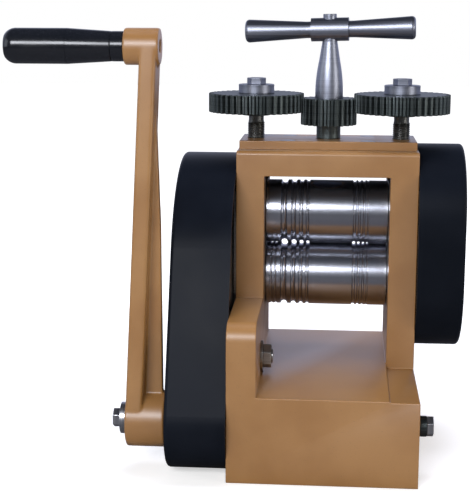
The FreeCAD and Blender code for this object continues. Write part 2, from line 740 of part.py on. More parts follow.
ALONG = {
    "+X": Rotation(Vector(0, 0, 1), Vector(1, 0, 0)),
    "-X": Rotation(Vector(0, 0, 1), Vector(-1, 0, 0)),
    "+Z": Rotation(),
    "-Z": Rotation(Vector(0, 0, 1), Vector(0, 0, -1)),
}


def bolt(name, heading, at, shank, shank_length, head_height, flats=None, head=None, taper=None):
    """A bolt whose head starts at the given point and stands up along the heading.

    Its head is a hexagon across flats, a round one, or a countersunk one that reaches down.
    """
    if flats:
        top = doc.addObject("Part::Prism", name + "_head")
        top.Polygon = 6
        top.setExpression("Circumradius", "%s / 2 / cos(30 deg)" % formula(flats))
    elif taper:
        top = doc.addObject("Part::Cone", name + "_head")
        bind(top, "Radius1", shank)
        bind(top, "Radius2", taper)
        bind(top, "Placement.Base.z", "0 - " + head_height)
    else:
        top = doc.addObject("Part::Cylinder", name + "_head")
        bind(top, "Radius", head)
    bind(top, "Height", head_height)
    stem = doc.addObject("Part::Cylinder", name + "_shank")
    bind(stem, "Radius", shank)
    bind(stem, "Height", shank_length)
    bind(stem, "Placement.Base.z", "0 - " + shank_length)
    whole = doc.addObject("Part::Fuse", name)
    whole.Base = top
    whole.Tool = stem
    whole.Refine = True
    place(whole, at, ALONG[heading])
    return whole


def nut(name, heading, at, bore, height, flats):
    outer = doc.addObject("Part::Prism", name + "_hexagon")
    outer.Polygon = 6
    outer.setExpression("Circumradius", "%s / 2 / cos(30 deg)" % formula(flats))
    bind(outer, "Height", height)
    hole = doc.addObject("Part::Cylinder", name + "_bore")
    bind(hole, "Radius", bore)
    bind(hole, "Height", height)
    whole = doc.addObject("Part::Cut", name)
    whole.Base = outer
    whole.Tool = hole
    place(whole, at, ALONG[heading])
    return whole


def group(label, things):
    """Identical fasteners share one node, as separate solids."""
    for thing in things:
        if thing in parts:
            parts.remove(thing)
    whole = doc.addObject("Part::Compound", label)
    whole.Links = things
    return keep(whole, label)


# Gears

def involute(angle):
    return math.tan(angle) - angle


def gear_face(teeth, module, addendum, dedendum, bore, phase):
    """A spur gear's section, with a tooth centred on the phase angle in degrees."""
    pitch = module * teeth / 2
    pressure = math.radians(size("pressure_angle"))
    base = pitch * math.cos(pressure)
    tip, root = pitch + addendum, pitch - dedendum
    half_tooth = (math.pi * module / 2 - size("gear_backlash") / 2) / (2 * pitch)

    def flank(radius):
        if radius <= base:
            return half_tooth + involute(pressure)
        return half_tooth + involute(pressure) - involute(math.acos(base / radius))

    def point(radius, angle):
        return Vector(radius * math.cos(angle), radius * math.sin(angle), 0)

    edges = []
    step = 2 * math.pi / teeth
    for i in range(teeth):
        middle = math.radians(phase) + i * step
        low, high = flank(root), flank(tip)
        centre = flank(pitch)
        rising = [point(root, middle - low), point(pitch, middle - centre), point(tip, middle - high)]
        falling = [point(tip, middle + high), point(pitch, middle + centre), point(root, middle + low)]
        floor = [falling[2], point(root, middle + step / 2), point(root, middle + step - low)]
        edges.append(Part.Arc(*rising).toShape())
        edges.append(Part.LineSegment(rising[2], falling[0]).toShape())
        edges.append(Part.Arc(*falling).toShape())
        edges.append(Part.Arc(*floor).toShape())
    rim = Part.Wire(Part.sortEdges(edges)[0])
    hole = Part.Wire(Part.Circle(Vector(), Vector(0, 0, 1), bore).toShape())
    return Part.makeFace([rim, hole], "Part::FaceMakerBullseye")


def gear(label, teeth, module, addendum, dedendum, start, width, bore, phase, hubs=()):
    """A spur gear along its own Z; hubs are (start, length, radius) rings beside the teeth."""
    face = gear_face(teeth, module, addendum, dedendum, bore, phase)
    solid = face.extrude(Vector(0, 0, width))
    solid.translate(Vector(0, 0, start))
    for hub_start, hub_length, hub_radius in hubs:
        hub = Part.makeCylinder(hub_radius, hub_length, Vector(0, 0, hub_start))
        hub = hub.cut(Part.makeCylinder(bore, hub_length, Vector(0, 0, hub_start)))
        solid = solid.fuse(hub)
    thing = doc.addObject("Part::Feature", label)
    thing.Shape = solid.removeSplitter()
    return keep(thing, label)


def sideways(thing, y, z):
    """Turn a gear's own axis to +X, its own X to +Y and its own Y to +Z."""
    thing.Placement = Placement(Vector(0, number(y), number(z)), Rotation(90, 0, 90))
    bind(thing, "Placement.Base.y", y)
    bind(thing, "Placement.Base.z", z)


# Frame casting

def at_point(x=None, y=None, z=None):
    """A test for edges whose middle lies on the planes given."""
    def chosen(edge):
        middle = edge.BoundBox.Center
        span = edge.BoundBox
        wanted = ((x, middle.x, span.XLength), (y, middle.y, span.YLength), (z, middle.z, span.ZLength))
        return all(w is None or (abs(m - w) < 0.01 and length < 0.01) for w, m, length in wanted)
    return chosen


frame = doc.addObject("PartDesign::Body", "mill_frame")

left_side = sketch_on(frame, "YZ_Plane", "0 - frame_half", "left_side")
outline(left_side, [
    ("-base_ahead", "0"), ("base_behind", "0"), ("base_behind", "base_height"),
    ("upright_half", "base_height"), ("upright_half", "frame_height"),
    ("-upright_half", "frame_height"), ("-upright_half", "cheek_height"),
    ("-base_ahead", "cheek_height"),
])
pad(frame, left_side, "upright_thickness", name="left_side_pad")
round_edges(frame, "cheek_round", at_point(y=-size("base_ahead"), z=size("cheek_height")), "cheek_nose")

right_side = sketch_on(frame, "YZ_Plane", "window_half", "right_side")
outline(right_side, [
    ("-base_ahead", "0"), ("base_behind", "0"), ("base_behind", "base_height"),
    ("upright_half", "base_height"), ("upright_half", "frame_height"),
    ("-upright_half", "frame_height"), ("-upright_half", "base_height"),
    ("-base_ahead", "base_height"),
])
middle = sketch_on(frame, "YZ_Plane", "0 - window_half", "tray")
outline(middle, [
    ("-base_ahead", "0"), ("base_behind", "0"), ("base_behind", "base_height"),
    ("upright_half", "tray_ridge"), ("-base_ahead", "tray_front"),
])
pad(frame, middle, "window_half + window_half", name="tray_pad")
pad(frame, right_side, "upright_thickness", name="right_side_pad")

crossbar = sketch_on(frame, "YZ_Plane", "0 - window_half", "crossbar")
box_outline(crossbar, "-upright_half", "crossbar_bottom", "upright_half", "frame_height")
pad(frame, crossbar, "window_half + window_half", name="crossbar_pad")

slots = sketch_on(frame, "YZ_Plane", "0 - frame_half", "block_slots")
box_outline(slots, "-slot_half", "slot_bottom", "slot_half", "slot_top")
pocket(frame, slots, "frame_width", name="block_slots_cut")

hollow = sketch_on(frame, "XY_Plane", name="hollow")
box_outline(hollow, "-window_half", "-hollow_front", "hollow_right", "-rib_half")
pocket(frame, hollow, "base_hollow", name="hollow_cut")
rear_hollow = sketch_on(frame, "XY_Plane", name="rear_hollow")
box_outline(rear_hollow, "-window_half", "rib_half", "hollow_right", "hollow_back")
pocket(frame, rear_hollow, "base_hollow", name="rear_hollow_cut")

left_bores = sketch_on(frame, "YZ_Plane", "0 - frame_half", "left_bores")
circle(left_bores, "crank_y", "crank_z", "crank_bush_outer")
circle(left_bores, "idler_y", "idler_z", "stud_thread_hole")
pocket(frame, left_bores, "upright_thickness", name="left_bores_cut")
right_bore = sketch_on(frame, "YZ_Plane", "hollow_right", "right_bore")
circle(right_bore, "crank_y", "crank_z", "tail_bush_outer")
pocket(frame, right_bore, "upright_thickness", name="right_bore_cut")

screw_holes = sketch_on(frame, "XY_Plane", "frame_height", "screw_holes")
for side in ("-screw_offset", "screw_offset"):
    circle(screw_holes, side, "0", "screw_hole")
pocket(frame, screw_holes, "crown_height + overrun", False, "screw_holes_cut")

spindle_hole = sketch_on(frame, "XY_Plane", "frame_height", "spindle_hole")
circle(spindle_hole, "0", "0", "handle_bush_radius")
pocket(frame, spindle_hole, "crossbar_height", False, "spindle_hole_cut")
ring_nut_room = sketch_on(frame, "XY_Plane", "crossbar_bottom", "ring_nut_room")
circle(ring_nut_room, "0", "0", "ring_nut_hole")
pocket(frame, ring_nut_room, "handle_bush_bottom - crossbar_bottom", True, "ring_nut_room_cut")

CAP_SCREWS = [(x, y) for x in ("-cap_screw_x", "cap_screw_x") for y in ("-cap_screw_y", "cap_screw_y")]
cap_taps = sketch_on(frame, "XY_Plane", "frame_height", "cap_taps")
for x, y in CAP_SCREWS:
    circle(cap_taps, x, y, "cap_screw_hole")
pocket(frame, cap_taps, "cap_screw_length - cap_thickness + tap_end", False, "cap_taps_cut")

bench_taps = sketch_on(frame, "XY_Plane", "0", "bench_taps")
for x in ("-mount_x", "mount_x"):
    for y in ("mount_front", "mount_back"):
        circle(bench_taps, x, y, "mount_radius")
pocket(frame, bench_taps, "mount_hole_depth", True, "bench_taps_cut")

# Where the posts of the covers and the keepers' screws meet the sides of the frame, as (Y, Z)
DRIVE_POSTS = [
    ("-drive_post_y", "drive_post_z"), ("drive_post_y", "drive_post_z"),
    ("-cheek_post_y", "cheek_post_z"), ("-foot_post_y", "foot_post_z"), ("rear_post_y", "rear_post_z"),
]
ROLL_POSTS = [
    (y, z) for y in ("-roll_post_y", "roll_post_y") for z in ("roll_post_low", "roll_post_high")
]
KEEPER_SCREWS = [
    (y, z) for y in ("-keeper_middle", "keeper_middle") for z in ("keeper_screw_low", "keeper_screw_high")
]
left_taps = sketch_on(frame, "YZ_Plane", "0 - frame_half", "left_taps")
for y, z in DRIVE_POSTS:
    circle(left_taps, y, z, "cover_screw_tap")
pocket(frame, left_taps, "cover_tap_depth", True, "left_taps_cut")
right_taps = sketch_on(frame, "YZ_Plane", "frame_half", "right_taps")
for y, z in ROLL_POSTS:
    circle(right_taps, y, z, "cover_screw_tap")
pocket(frame, right_taps, "cover_tap_depth", False, "right_taps_cut")
for name, plane, forward in (("left", "0 - frame_half", True), ("right", "frame_half", False)):
    taps = sketch_on(frame, "YZ_Plane", plane, name + "_keeper_taps")
    for y, z in KEEPER_SCREWS:
        circle(taps, y, z, "keeper_screw_tap")
    pocket(frame, taps, "keeper_screw_length", forward, name + "_keeper_taps_cut")
for side in (-1, 1):
    round_edges(frame, "casting_round", at_point(y=side * size("upright_half"), z=size("frame_height")),
                "top_edge_round")
keep(frame, "mill_frame")

# Cap and its screws

cap = doc.addObject("PartDesign::Body", "top_cap")
cap_plan = sketch_on(cap, "XY_Plane", "frame_height", "cap_plan")
box_outline(cap_plan, "-cap_half", "-cap_half_depth", "cap_half", "cap_half_depth")
for side in ("-screw_offset", "screw_offset"):
    circle(cap_plan, side, "0", "screw_hole")
circle(cap_plan, "0", "0", "handle_bush_radius")
for x, y in CAP_SCREWS:
    circle(cap_plan, x, y, "cap_screw_hole")
pad(cap, cap_plan, "cap_thickness")
keep(cap, "top_cap")
heads = []
for i, (x, y) in enumerate(CAP_SCREWS):
    sink = doc.addObject("Part::Cone", "cap_sink_%d" % i)
    bind(sink, "Radius1", "cap_screw_hole")
    bind(sink, "Radius2", "cap_screw_sink")
    bind(sink, "Height", "cap_screw_head_height")
    place(sink, (x, y, "cap_top - cap_screw_head_height"))
    heads.append(sink)
sunk_cap = doc.addObject("Part::Cut", "countersunk_cap")
sinks = doc.addObject("Part::MultiFuse", "cap_sinks")
sinks.Shapes = heads
sunk_cap.Base = cap
sunk_cap.Tool = sinks
parts.remove(cap)
cap.Label = "cap_plate"
keep(sunk_cap, "top_cap")
group("cap_screws", [
    bolt("cap_screw_%d" % i, "+Z", (x, y, "cap_top"), "cap_screw_radius", "cap_screw_length",
         "cap_screw_head_height", taper="cap_screw_head_radius")
    for i, (x, y) in enumerate(CAP_SCREWS)
])

# Bearing blocks, bushes, springs, thrust pads and keepers

SIDES = {"left": ("0 - block_outer", "-"), "right": ("window_half", "")}


def bearing_block(label, start, sign, bottom, top, axis, upper):
    block = doc.addObject("PartDesign::Body", label)
    face = sketch_on(block, "YZ_Plane", start, label + "_face")
    box_outline(face, "-block_half", bottom, "block_half", top)
    circle(face, "0", axis, "bush_seat")
    pad(block, face, "block_length")
    seats = sketch_on(block, "XY_Plane", bottom if upper else top, label + "_spring_seats")
    for y in ("-spring_offset", "spring_offset"):
        circle(seats, sign + "block_middle", y, "spring_seat")
    pocket(block, seats, "spring_pocket", upper, label + "_spring_pockets")
    if upper:
        recess = sketch_on(block, "XY_Plane", top, label + "_pad_seat")
        circle(recess, sign + "screw_offset", "0", "pad_seat")
        pocket(block, recess, "pad_sunk", False, label + "_pad_recess")
    keep(block, label)


for name, (start, sign) in SIDES.items():
    bearing_block("lower_block_" + name, start, sign, "slot_bottom", "lower_block_top", "lower_axis", False)
    bearing_block("upper_block_" + name, start, sign, "upper_block_bottom", "upper_block_top", "upper_axis",
                  True)
for level in ("lower", "upper"):
    group(level + "_bushes", [
        ring("%s_bush_%d" % (level, i), first, last, "bush_bore", "bush_outer",
             at=("0", "0", level + "_axis"))
        for i, (first, last) in enumerate((("-block_outer", "-window_half"), ("window_half", "block_outer")))
    ])
group("lift_springs", [
    ring("lift_spring_%s_%d" % (name, i), "0", "spring_length", "spring_hole", "spring_radius", "Z",
         at=(sign + "block_middle", y, "spring_bottom"))
    for name, (start, sign) in SIDES.items()
    for i, y in enumerate(("-spring_offset", "spring_offset"))
])
group("thrust_pads", [
    ring("thrust_pad_" + name, "pad_bottom", "pad_top", "0", "pad_radius", "Z",
         at=(sign + "screw_offset", "0", "0"))
    for name, (start, sign) in SIDES.items()
])
strips = []
keeper_screws = []
for name, start, heading, face in (("left", "0 - keeper_face", "-X", "0 - keeper_face"),
                                   ("right", "frame_half", "+X", "keeper_face")):
    for i, (near, far) in enumerate((("-keeper_outer", "-keeper_inner"), ("keeper_inner", "keeper_outer"))):
        strip = doc.addObject("PartDesign::Body", "%s_keeper_%d" % (name, i))
        plan = sketch_on(strip, "YZ_Plane", start, strip.Name + "_plan")
        box_outline(plan, near, "keeper_bottom", far, "keeper_top")
        holes = [(y, z) for y, z in KEEPER_SCREWS if y.startswith("-") == near.startswith("-")]
        for y, z in holes:
            circle(plan, y, z, "keeper_screw_hole")
        pad(strip, plan, "keeper_thickness")
        sink = sketch_on(strip, "YZ_Plane", face, strip.Name + "_sink")
        for y, z in holes:
            circle(sink, y, z, "keeper_screw_sink")
        pocket(strip, sink, "keeper_screw_head_height", name == "left", strip.Name + "_sinks")
        strips.append(strip)
    seat = "-keeper_screw_seat" if name == "left" else "keeper_screw_seat"
    keeper_screws += [
        bolt("%s_keeper_screw_%d" % (name, i), heading, (seat, y, z), "keeper_screw_radius",
             "keeper_screw_length", "keeper_screw_head_height", head="keeper_screw_head_radius")
        for i, (y, z) in enumerate(KEEPER_SCREWS)
    ]
group("block_keepers", strips)
group("keeper_screws", keeper_screws)

# Rolls with their grooves


def grooved(label, points, axis, grooves):
    body = doc.addObject("PartDesign::Body", label)
    section = sketch_on(body, "XZ_Plane", name=label + "_section")
    outline(section, points)
    turning = body.newObject("PartDesign::Revolution", label + "_turning")
    turning.Profile = section
    turning.ReferenceAxis = (section, ["H_Axis"])
    turning.Angle = 360
    doc.recompute()
    cutter = sketch_on(body, "XZ_Plane", name=label + "_grooves")
    for i in grooves:
        circle(cutter, "groove_%d_at" % i, "groove_level", "groove_%d_radius" % i)
    before = body.Shape.Volume
    cut = body.newObject("PartDesign::Groove", label + "_groove_cut")
    cut.Profile = cutter
    cut.ReferenceAxis = (cutter, ["H_Axis"])
    cut.Angle = 360
    place(body, ("0", "0", axis))
    doc.recompute()
    if body.Shape.Volume > before - 1:
        raise RuntimeError("the grooves cut nothing")
    tap = sketch_on(body, "YZ_Plane", "coupling_end", label + "_tap")
    circle(tap, "0", "0", "end_bolt_hole")
    pocket(body, tap, "end_bolt_length", False, label + "_tapped_end")
    return keep(body, label)


RIGHT_END = [
    ("barrel_half", "roll_radius"), ("barrel_half", "journal_radius"), ("coupling_start", "journal_radius"),
    ("coupling_start", "seat_radius"), ("coupling_end", "seat_radius"), ("coupling_end", "0"),
]
grooved("lower_roll", [
    ("-roll_thread_end", "0"), ("-roll_thread_end", "thread_radius"), ("-slow_gear_end", "thread_radius"),
    ("-slow_gear_end", "seat_radius"), ("-slow_gear_start", "seat_radius"),
    ("-slow_gear_start", "journal_radius"), ("-barrel_half", "journal_radius"),
    ("-barrel_half", "roll_radius"),
] + RIGHT_END, "lower_axis", range(len(GROOVES)))
grooved("upper_roll", [
    ("-keeper_face", "0"), ("-keeper_face", "journal_radius"), ("-barrel_half", "journal_radius"),
    ("-barrel_half", "roll_radius"),
] + RIGHT_END, "upper_axis", range(2, len(GROOVES)))


def heading_angle(start, end):
    """Degrees of the way from one (Y, Z) place to another."""
    return math.degrees(math.atan2(number(end[1]) - number(start[1]), number(end[0]) - number(start[0])))


ROLL_PLACE = ("0", "lower_axis")
IDLER_PLACE = ("idler_y", "idler_z")
CRANK_PLACE = ("crank_y", "crank_z")
slow_heading = heading_angle(ROLL_PLACE, IDLER_PLACE)
fast_heading = heading_angle(IDLER_PLACE, CRANK_PLACE)
drive_module = size("drive_module")
drive_addendum = drive_module * size("stub_addendum")
drive_dedendum = drive_module * size("stub_dedendum")


def drive_gear(label, teeth, start, end, bore, phase, spot, hubs=()):
    """A gear of the train on the left; start and end are distances out from the middle plane."""
    thing = gear(label, int(size(teeth)), drive_module, drive_addendum, drive_dedendum,
                 -size(end), size(end) - size(start), number(bore), phase, hubs)
    sideways(thing, *spot)


drive_gear("roll_drive_gear", "roll_gear_teeth", "slow_gear_start", "slow_gear_end",
           "seat_radius + seat_fit", slow_heading, ROLL_PLACE)
drive_gear("idler_pinion", "idler_pinion_teeth", "slow_gear_start", "slow_gear_end",
           "idler_bush_outer + seat_fit", slow_heading + 180 + 180 / size("idler_pinion_teeth"), IDLER_PLACE)
drive_gear("idler_gear", "idler_gear_teeth", "fast_gear_start", "fast_gear_end",
           "idler_bush_outer + seat_fit", fast_heading, IDLER_PLACE,
           [(-size("fast_gear_start"), size("gear_plane_gap"), size("idler_hub_radius"))])
drive_gear("crank_pinion", "crank_pinion_teeth", "fast_gear_start", "fast_gear_end",
           "shaft_radius + seat_fit", fast_heading + 180 + 180 / size("crank_pinion_teeth"), CRANK_PLACE,
           [(-size("fast_gear_start"), size("fast_gear_start") - size("crank_hub_stop"),
             size("crank_hub_radius"))])
roll_module = size("roll_gear_module")
for level, phase in (("lower", 90), ("upper", 270 + 180 / size("coupling_teeth"))):
    thing = gear(level + "_roll_gear", int(size("coupling_teeth")), roll_module, size("coupling_addendum"),
                 size("coupling_dedendum"), size("coupling_start"), size("coupling_width"),
                 number("seat_radius + seat_fit"), phase)
    sideways(thing, "0", level + "_axis")

for level in ("lower", "upper"):
    spot = ("0", level + "_axis")
    ring(level + "_end_washer", "coupling_end", "end_washer_end", "end_bolt_hole", "end_washer_radius",
         at=("0",) + spot)
    keep(bolt(level + "_end_bolt", "+X", ("end_washer_end",) + spot, "end_bolt_radius", "end_bolt_length",
              "end_bolt_head", flats="end_bolt_flats"), level + "_end_bolt")
keep(nut("roll_drive_nut", "-X", ("-slow_gear_end", "0", "lower_axis"), "thread_radius + seat_fit",
         "end_nut_height", "end_nut_flats"), "roll_drive_nut")

# Idler on its stud

turned("idler_stud", [
    ("-stud_end", "0"), ("-stud_end", "stud_radius"), ("-stud_flange_end", "stud_radius"),
    ("-stud_flange_end", "stud_flange_radius"), ("-frame_half", "stud_flange_radius"),
    ("-frame_half", "stud_thread_radius"), ("-stud_thread_end", "stud_thread_radius"),
    ("-stud_thread_end", "0"),
], at=("0",) + IDLER_PLACE)
ring("idler_bush", "-fast_gear_end", "-idler_bush_start", "idler_bush_bore", "idler_bush_outer",
     at=("0",) + IDLER_PLACE)
ring("stud_clip", "-stud_clip_end", "-stud_clip_start", "stud_radius + seat_fit", "stud_clip_radius",
     at=("0",) + IDLER_PLACE)
ring("idler_washer", "-window_half", "-stud_washer_face", "stud_thread_hole", "stud_washer_radius",
     at=("0",) + IDLER_PLACE)
keep(nut("idler_nut", "+X", ("-stud_washer_face",) + IDLER_PLACE, "stud_thread_hole", "stud_nut_height",
         "stud_nut_flats"), "idler_nut")

# Covers with their posts


def cover(label, first, first_radius, second, second_radius, inner, sign, posts, hollow, shaft_hole):
    """A dish over a belt-shaped outline, open towards the frame, held by screws through its posts."""
    side = "frame_half" if sign > 0 else "0 - frame_half"
    face = "drive_cover_face" if sign < 0 else "roll_cover_face"
    depth = "drive_cover_depth" if sign < 0 else "roll_cover_depth"
    out = sign > 0
    body = doc.addObject("PartDesign::Body", label)
    outer = sketch_on(body, "YZ_Plane", side, label + "_outline")
    belt_outline(outer, first, first_radius, second, second_radius)
    pad(body, outer, depth, not out, label + "_dish")
    round_edges(body, "cover_round", at_point(x=sign * size(face)), label + "_round")
    inside = sketch_on(body, "YZ_Plane", side, label + "_inside")
    belt_outline(inside, first, inner[0], second, inner[1])
    pocket(body, inside, hollow, out, label + "_hollow")
    stands = sketch_on(body, "YZ_Plane", side, label + "_posts")
    for y, z in posts:
        circle(stands, y, z, "post_radius")
    pad(body, stands, hollow, not out, label + "_posts_pad")
    holes = sketch_on(body, "YZ_Plane", side, label + "_holes")
    for y, z in posts:
        circle(holes, y, z, "cover_screw_hole")
    if shaft_hole:
        circle(holes, "crank_y", "crank_z", "cover_shaft_hole")
    pocket(body, holes, depth, out, label + "_holes_cut")
    sinks = sketch_on(body, "YZ_Plane", face if out else "0 - " + face, label + "_sinks")
    for y, z in posts:
        circle(sinks, y, z, "cover_screw_sink")
    pocket(body, sinks, "cover_sink_depth", not out, label + "_sinks_cut")
    keep(body, label)


cover("drive_gear_cover", ROLL_PLACE, "drive_cover_radius", CRANK_PLACE, "drive_cover_lobe",
      ("drive_cover_inner", "drive_lobe_inner"), -1, DRIVE_POSTS, "drive_cover_hollow", True)
cover("roll_gear_cover", ROLL_PLACE, "roll_cover_radius", ("0", "upper_axis"), "roll_cover_radius",
      ("roll_cover_inner", "roll_cover_inner"), 1, ROLL_POSTS, "roll_cover_hollow", False)
group("cover_screws", [
    bolt("%s_cover_screw_%d" % (name, i), heading,
         (seat, y, z), "cover_screw_radius", length, "cover_screw_head_height",
         head="cover_screw_head_radius")
    for name, heading, posts, seat, length in (
        ("drive", "-X", DRIVE_POSTS, "-drive_screw_seat", "drive_screw_length"),
        ("roll", "+X", ROLL_POSTS, "roll_screw_seat", "roll_screw_length"))
    for i, (y, z) in enumerate(posts)
])

# Crankshaft, crank and grip

CRANK_AXIS = ("0",) + CRANK_PLACE
GRIP_AXIS = ("0", "crank_y", "grip_z")
turned("crankshaft", [
    ("-shaft_left_end", "crank_bolt_hole"), ("-shaft_left_end", "crank_seat_radius"),
    ("-hub_start", "crank_seat_radius"), ("-hub_start", "shaft_radius"),
    ("tail_shoulder", "shaft_radius"), ("tail_shoulder", "tail_radius"), ("tail_end", "tail_radius"),
    ("tail_end", "crank_bolt_hole"), ("tail_tap_end", "crank_bolt_hole"), ("tail_tap_end", "0"),
    ("-crank_tap_end", "0"), ("-crank_tap_end", "crank_bolt_hole"),
], at=CRANK_AXIS)
ring("crank_bush_left", "-frame_half", "-window_half", "shaft_bush_bore", "crank_bush_outer - seat_fit",
     at=CRANK_AXIS)
ring("crank_bush_right", "hollow_right", "frame_half", "tail_bush_bore", "tail_bush_outer - seat_fit",
     at=CRANK_AXIS)
ring("crank_washer", "-crank_washer_end", "-hub_end", "crank_bolt_hole", "crank_washer_radius", at=CRANK_AXIS)
keep(bolt("crank_bolt", "-X", ("-crank_washer_end",) + CRANK_PLACE, "crank_bolt_radius",
          "crank_bolt_length", "crank_bolt_head", flats="crank_bolt_flats"), "crank_bolt")
ring("tail_washer", "tail_end", "tail_washer_end", "crank_bolt_hole", "tail_washer_radius", at=CRANK_AXIS)
keep(bolt("tail_bolt", "+X", ("tail_washer_end",) + CRANK_PLACE, "crank_bolt_radius", "crank_bolt_length",
          "tail_bolt_head", flats="tail_bolt_flats"), "tail_bolt")

arm = doc.addObject("PartDesign::Body", "crank_arm")
plate = sketch_on(arm, "XZ_Plane", name="arm_plate")
outline(plate, [
    ("-hub_end", "0"), ("-arm_foot_inner", "0"), ("-arm_head_inner", "crank_radius"),
    ("-arm_head_outer", "crank_radius"),
])
pad(arm, plate, "arm_foot_width", name="arm_plate_pad").SideType = "Symmetric"
doc.recompute()
tapers = sketch_on(arm, "YZ_Plane", "0 - arm_cut_start", "arm_tapers")
for sign in ("-", ""):
    outline(tapers, [(sign + "arm_foot_half", "0"), (sign + "arm_head_half", "crank_radius"),
                     (sign + "arm_side", "arm_top"), (sign + "arm_side", "0")])
pocket(arm, tapers, "arm_taper_depth", True, "arm_tapers_cut")
round_edges(arm, "arm_round", lambda edge: edge.Length > size("crank_radius") / 2, "arm_edges_round")
hub = sketch_on(arm, "YZ_Plane", "0 - hub_end", "arm_hub")
circle(hub, "0", "0", "hub_radius")
pad(arm, hub, "hub_length", name="arm_hub_pad")
boss = sketch_on(arm, "YZ_Plane", "0 - boss_end", "arm_boss")
circle(boss, "0", "crank_radius", "boss_radius")
pad(arm, boss, "boss_length", name="arm_boss_pad")
rib = sketch_on(arm, "XZ_Plane", name="arm_rib")
outline(rib, [
    ("-rib_root_foot", "0"), ("-rib_foot", "0"), ("-rib_middle", "rib_bend"), ("-rib_head", "rib_top"),
    ("-rib_root_head", "rib_root_top"),
])
pad(arm, rib, "arm_rib", name="arm_rib_pad").SideType = "Symmetric"
doc.recompute()
arm_bores = sketch_on(arm, "YZ_Plane", "0 - arm_cut_start", "arm_bores")
circle(arm_bores, "0", "0", "crank_seat_radius + seat_fit")
circle(arm_bores, "0", "crank_radius", "grip_spindle_radius + seat_fit")
pocket(arm, arm_bores, "arm_bore_depth", True, "arm_bores_cut")
place(arm, CRANK_AXIS)
keep(arm, "crank_arm")

turned("grip_spindle", [
    ("-grip_head_end", "0"), ("-grip_head_end", "grip_head_radius"), ("-grip_head_start", "grip_head_radius"),
    ("-grip_head_start", "grip_spindle_radius"), ("-spindle_inner_end", "grip_spindle_radius"),
    ("-spindle_inner_end", "0"),
], at=GRIP_AXIS)
ring("grip_ferrule", "-ferrule_end", "-boss_end", "grip_spindle_radius + seat_fit", "ferrule_radius",
     at=GRIP_AXIS)
turned("grip_sleeve", [
    ("-sleeve_start", "grip_bore"), ("-sleeve_start", "grip_neck_radius"), ("-sleeve_end", "grip_radius"),
    ("-sleeve_end", "grip_spigot_radius"), ("-grip_spigot_end", "grip_spigot_radius"),
    ("-grip_spigot_end", "grip_sink"), ("-grip_sink_start", "grip_sink"), ("-grip_sink_start", "grip_bore"),
], at=GRIP_AXIS)
turned("grip_end", [
    ("-sleeve_end", "grip_socket_radius"), ("-sleeve_end", "grip_radius"),
    ("-grip_dome_start", "grip_radius"), ("-grip_dome_middle", "grip_dome_radius", "arc"),
    ("-grip_tip", "grip_flat"), ("-grip_tip", "0"), ("-grip_socket_end", "0"),
    ("-grip_socket_end", "grip_socket_radius"),
], at=GRIP_AXIS)

# Pressing screws with their gears

top_module = size("top_gear_module")
top_addendum = top_module * size("top_gear_addendum")
top_dedendum = top_module * size("top_gear_dedendum")
for name, side, gap in (("left", "-screw_offset", 0), ("right", "screw_offset", 180)):
    spot = (side, "0", "0")
    turned(name + "_screw", [
        ("0", "pad_top + running_fit"), ("screw_radius", "pad_top + running_fit"),
        ("screw_radius", "screw_thread_top"), ("screw_neck_radius", "screw_shoulder"),
        ("screw_neck_radius", "gear_hub_bottom"), ("screw_stem", "gear_hub_bottom"),
        ("screw_stem", "stem_top"), ("screw_bolt_hole", "stem_top"), ("screw_bolt_hole", "stem_tap_bottom"),
        ("0", "stem_tap_bottom"),
    ], "Z", spot)
    wheel = gear(name + "_top_gear", int(size("top_gear_teeth")), top_module, top_addendum, top_dedendum,
                 size("top_gear_bottom"), size("top_gear_thickness"), size("top_gear_bore") / 2,
                 gap + 180 / size("top_gear_teeth"),
                 [(size("gear_hub_bottom"), size("gear_hub_height"), size("gear_hub_radius"))])
    place(wheel, spot)
    ring(name + "_collar", "top_gear_top", "collar_top", "screw_bolt_hole", "collar_radius", "Z", spot)
    keep(bolt(name + "_screw_bolt", "+Z", (side, "0", "collar_top"), "screw_bolt_radius",
              "screw_bolt_length", "screw_bolt_head", flats="screw_bolt_flats"), name + "_screw_bolt")

# T-handle on its spindle

ring("handle_bush", "handle_bush_bottom", "cap_top", "handle_bush_hole", "handle_bush_radius - seat_fit", "Z")
gear("handle_pinion", int(size("pinion_teeth")), top_module, top_addendum, top_dedendum,
     size("pinion_bottom"), size("pinion_height"), number("handle_journal + seat_fit"), 0,
     [(size("pinion_hub_bottom"), number("pinion_bottom - pinion_hub_bottom"), size("pinion_hub_radius"))])
ring("spindle_ring_nut", "ring_nut_bottom", "ring_nut_top", "spindle_thread_radius + seat_fit",
     "ring_nut_radius", "Z")
TILT = Rotation(-size("crossbar_turn"), -size("crossbar_lean"), 0)
core = turned("spindle_core", [
    ("0", "ring_nut_bottom"), ("spindle_thread_radius", "ring_nut_bottom"),
    ("spindle_thread_radius", "ring_nut_top"), ("handle_journal", "ring_nut_top"),
    ("handle_journal", "pinion_top"), ("handle_foot_radius", "pinion_top"),
    ("handle_foot_radius", "handle_foot_top"), ("handle_swell_radius", "handle_swell", "arc"),
    ("handle_slope_radius", "handle_slope"), ("handle_neck_radius", "handle_neck"),
    ("handle_neck_radius", "handle_axis"), ("0", "handle_axis"),
], "Z")
parts.remove(core)


def rod(name, radius, length, start, across=False):
    """A cylinder about the crossbar's middle, along the crossbar or square to it."""
    thing = doc.addObject("Part::Cylinder", name)
    bind(thing, "Radius", radius)
    bind(thing, "Height", length)
    turn = TILT if across else TILT * ALONG["+X"]
    place(thing, ("0", "0", "handle_axis"), turn)
    thing.Placement.Base = thing.Placement.Base + turn.multVec(Vector(0, 0, number(start)))
    thing.setExpression("Placement.Base.z", None)
    thing.setExpression("Placement.Base.x", None)
    thing.setExpression("Placement.Base.y", None)
    return thing


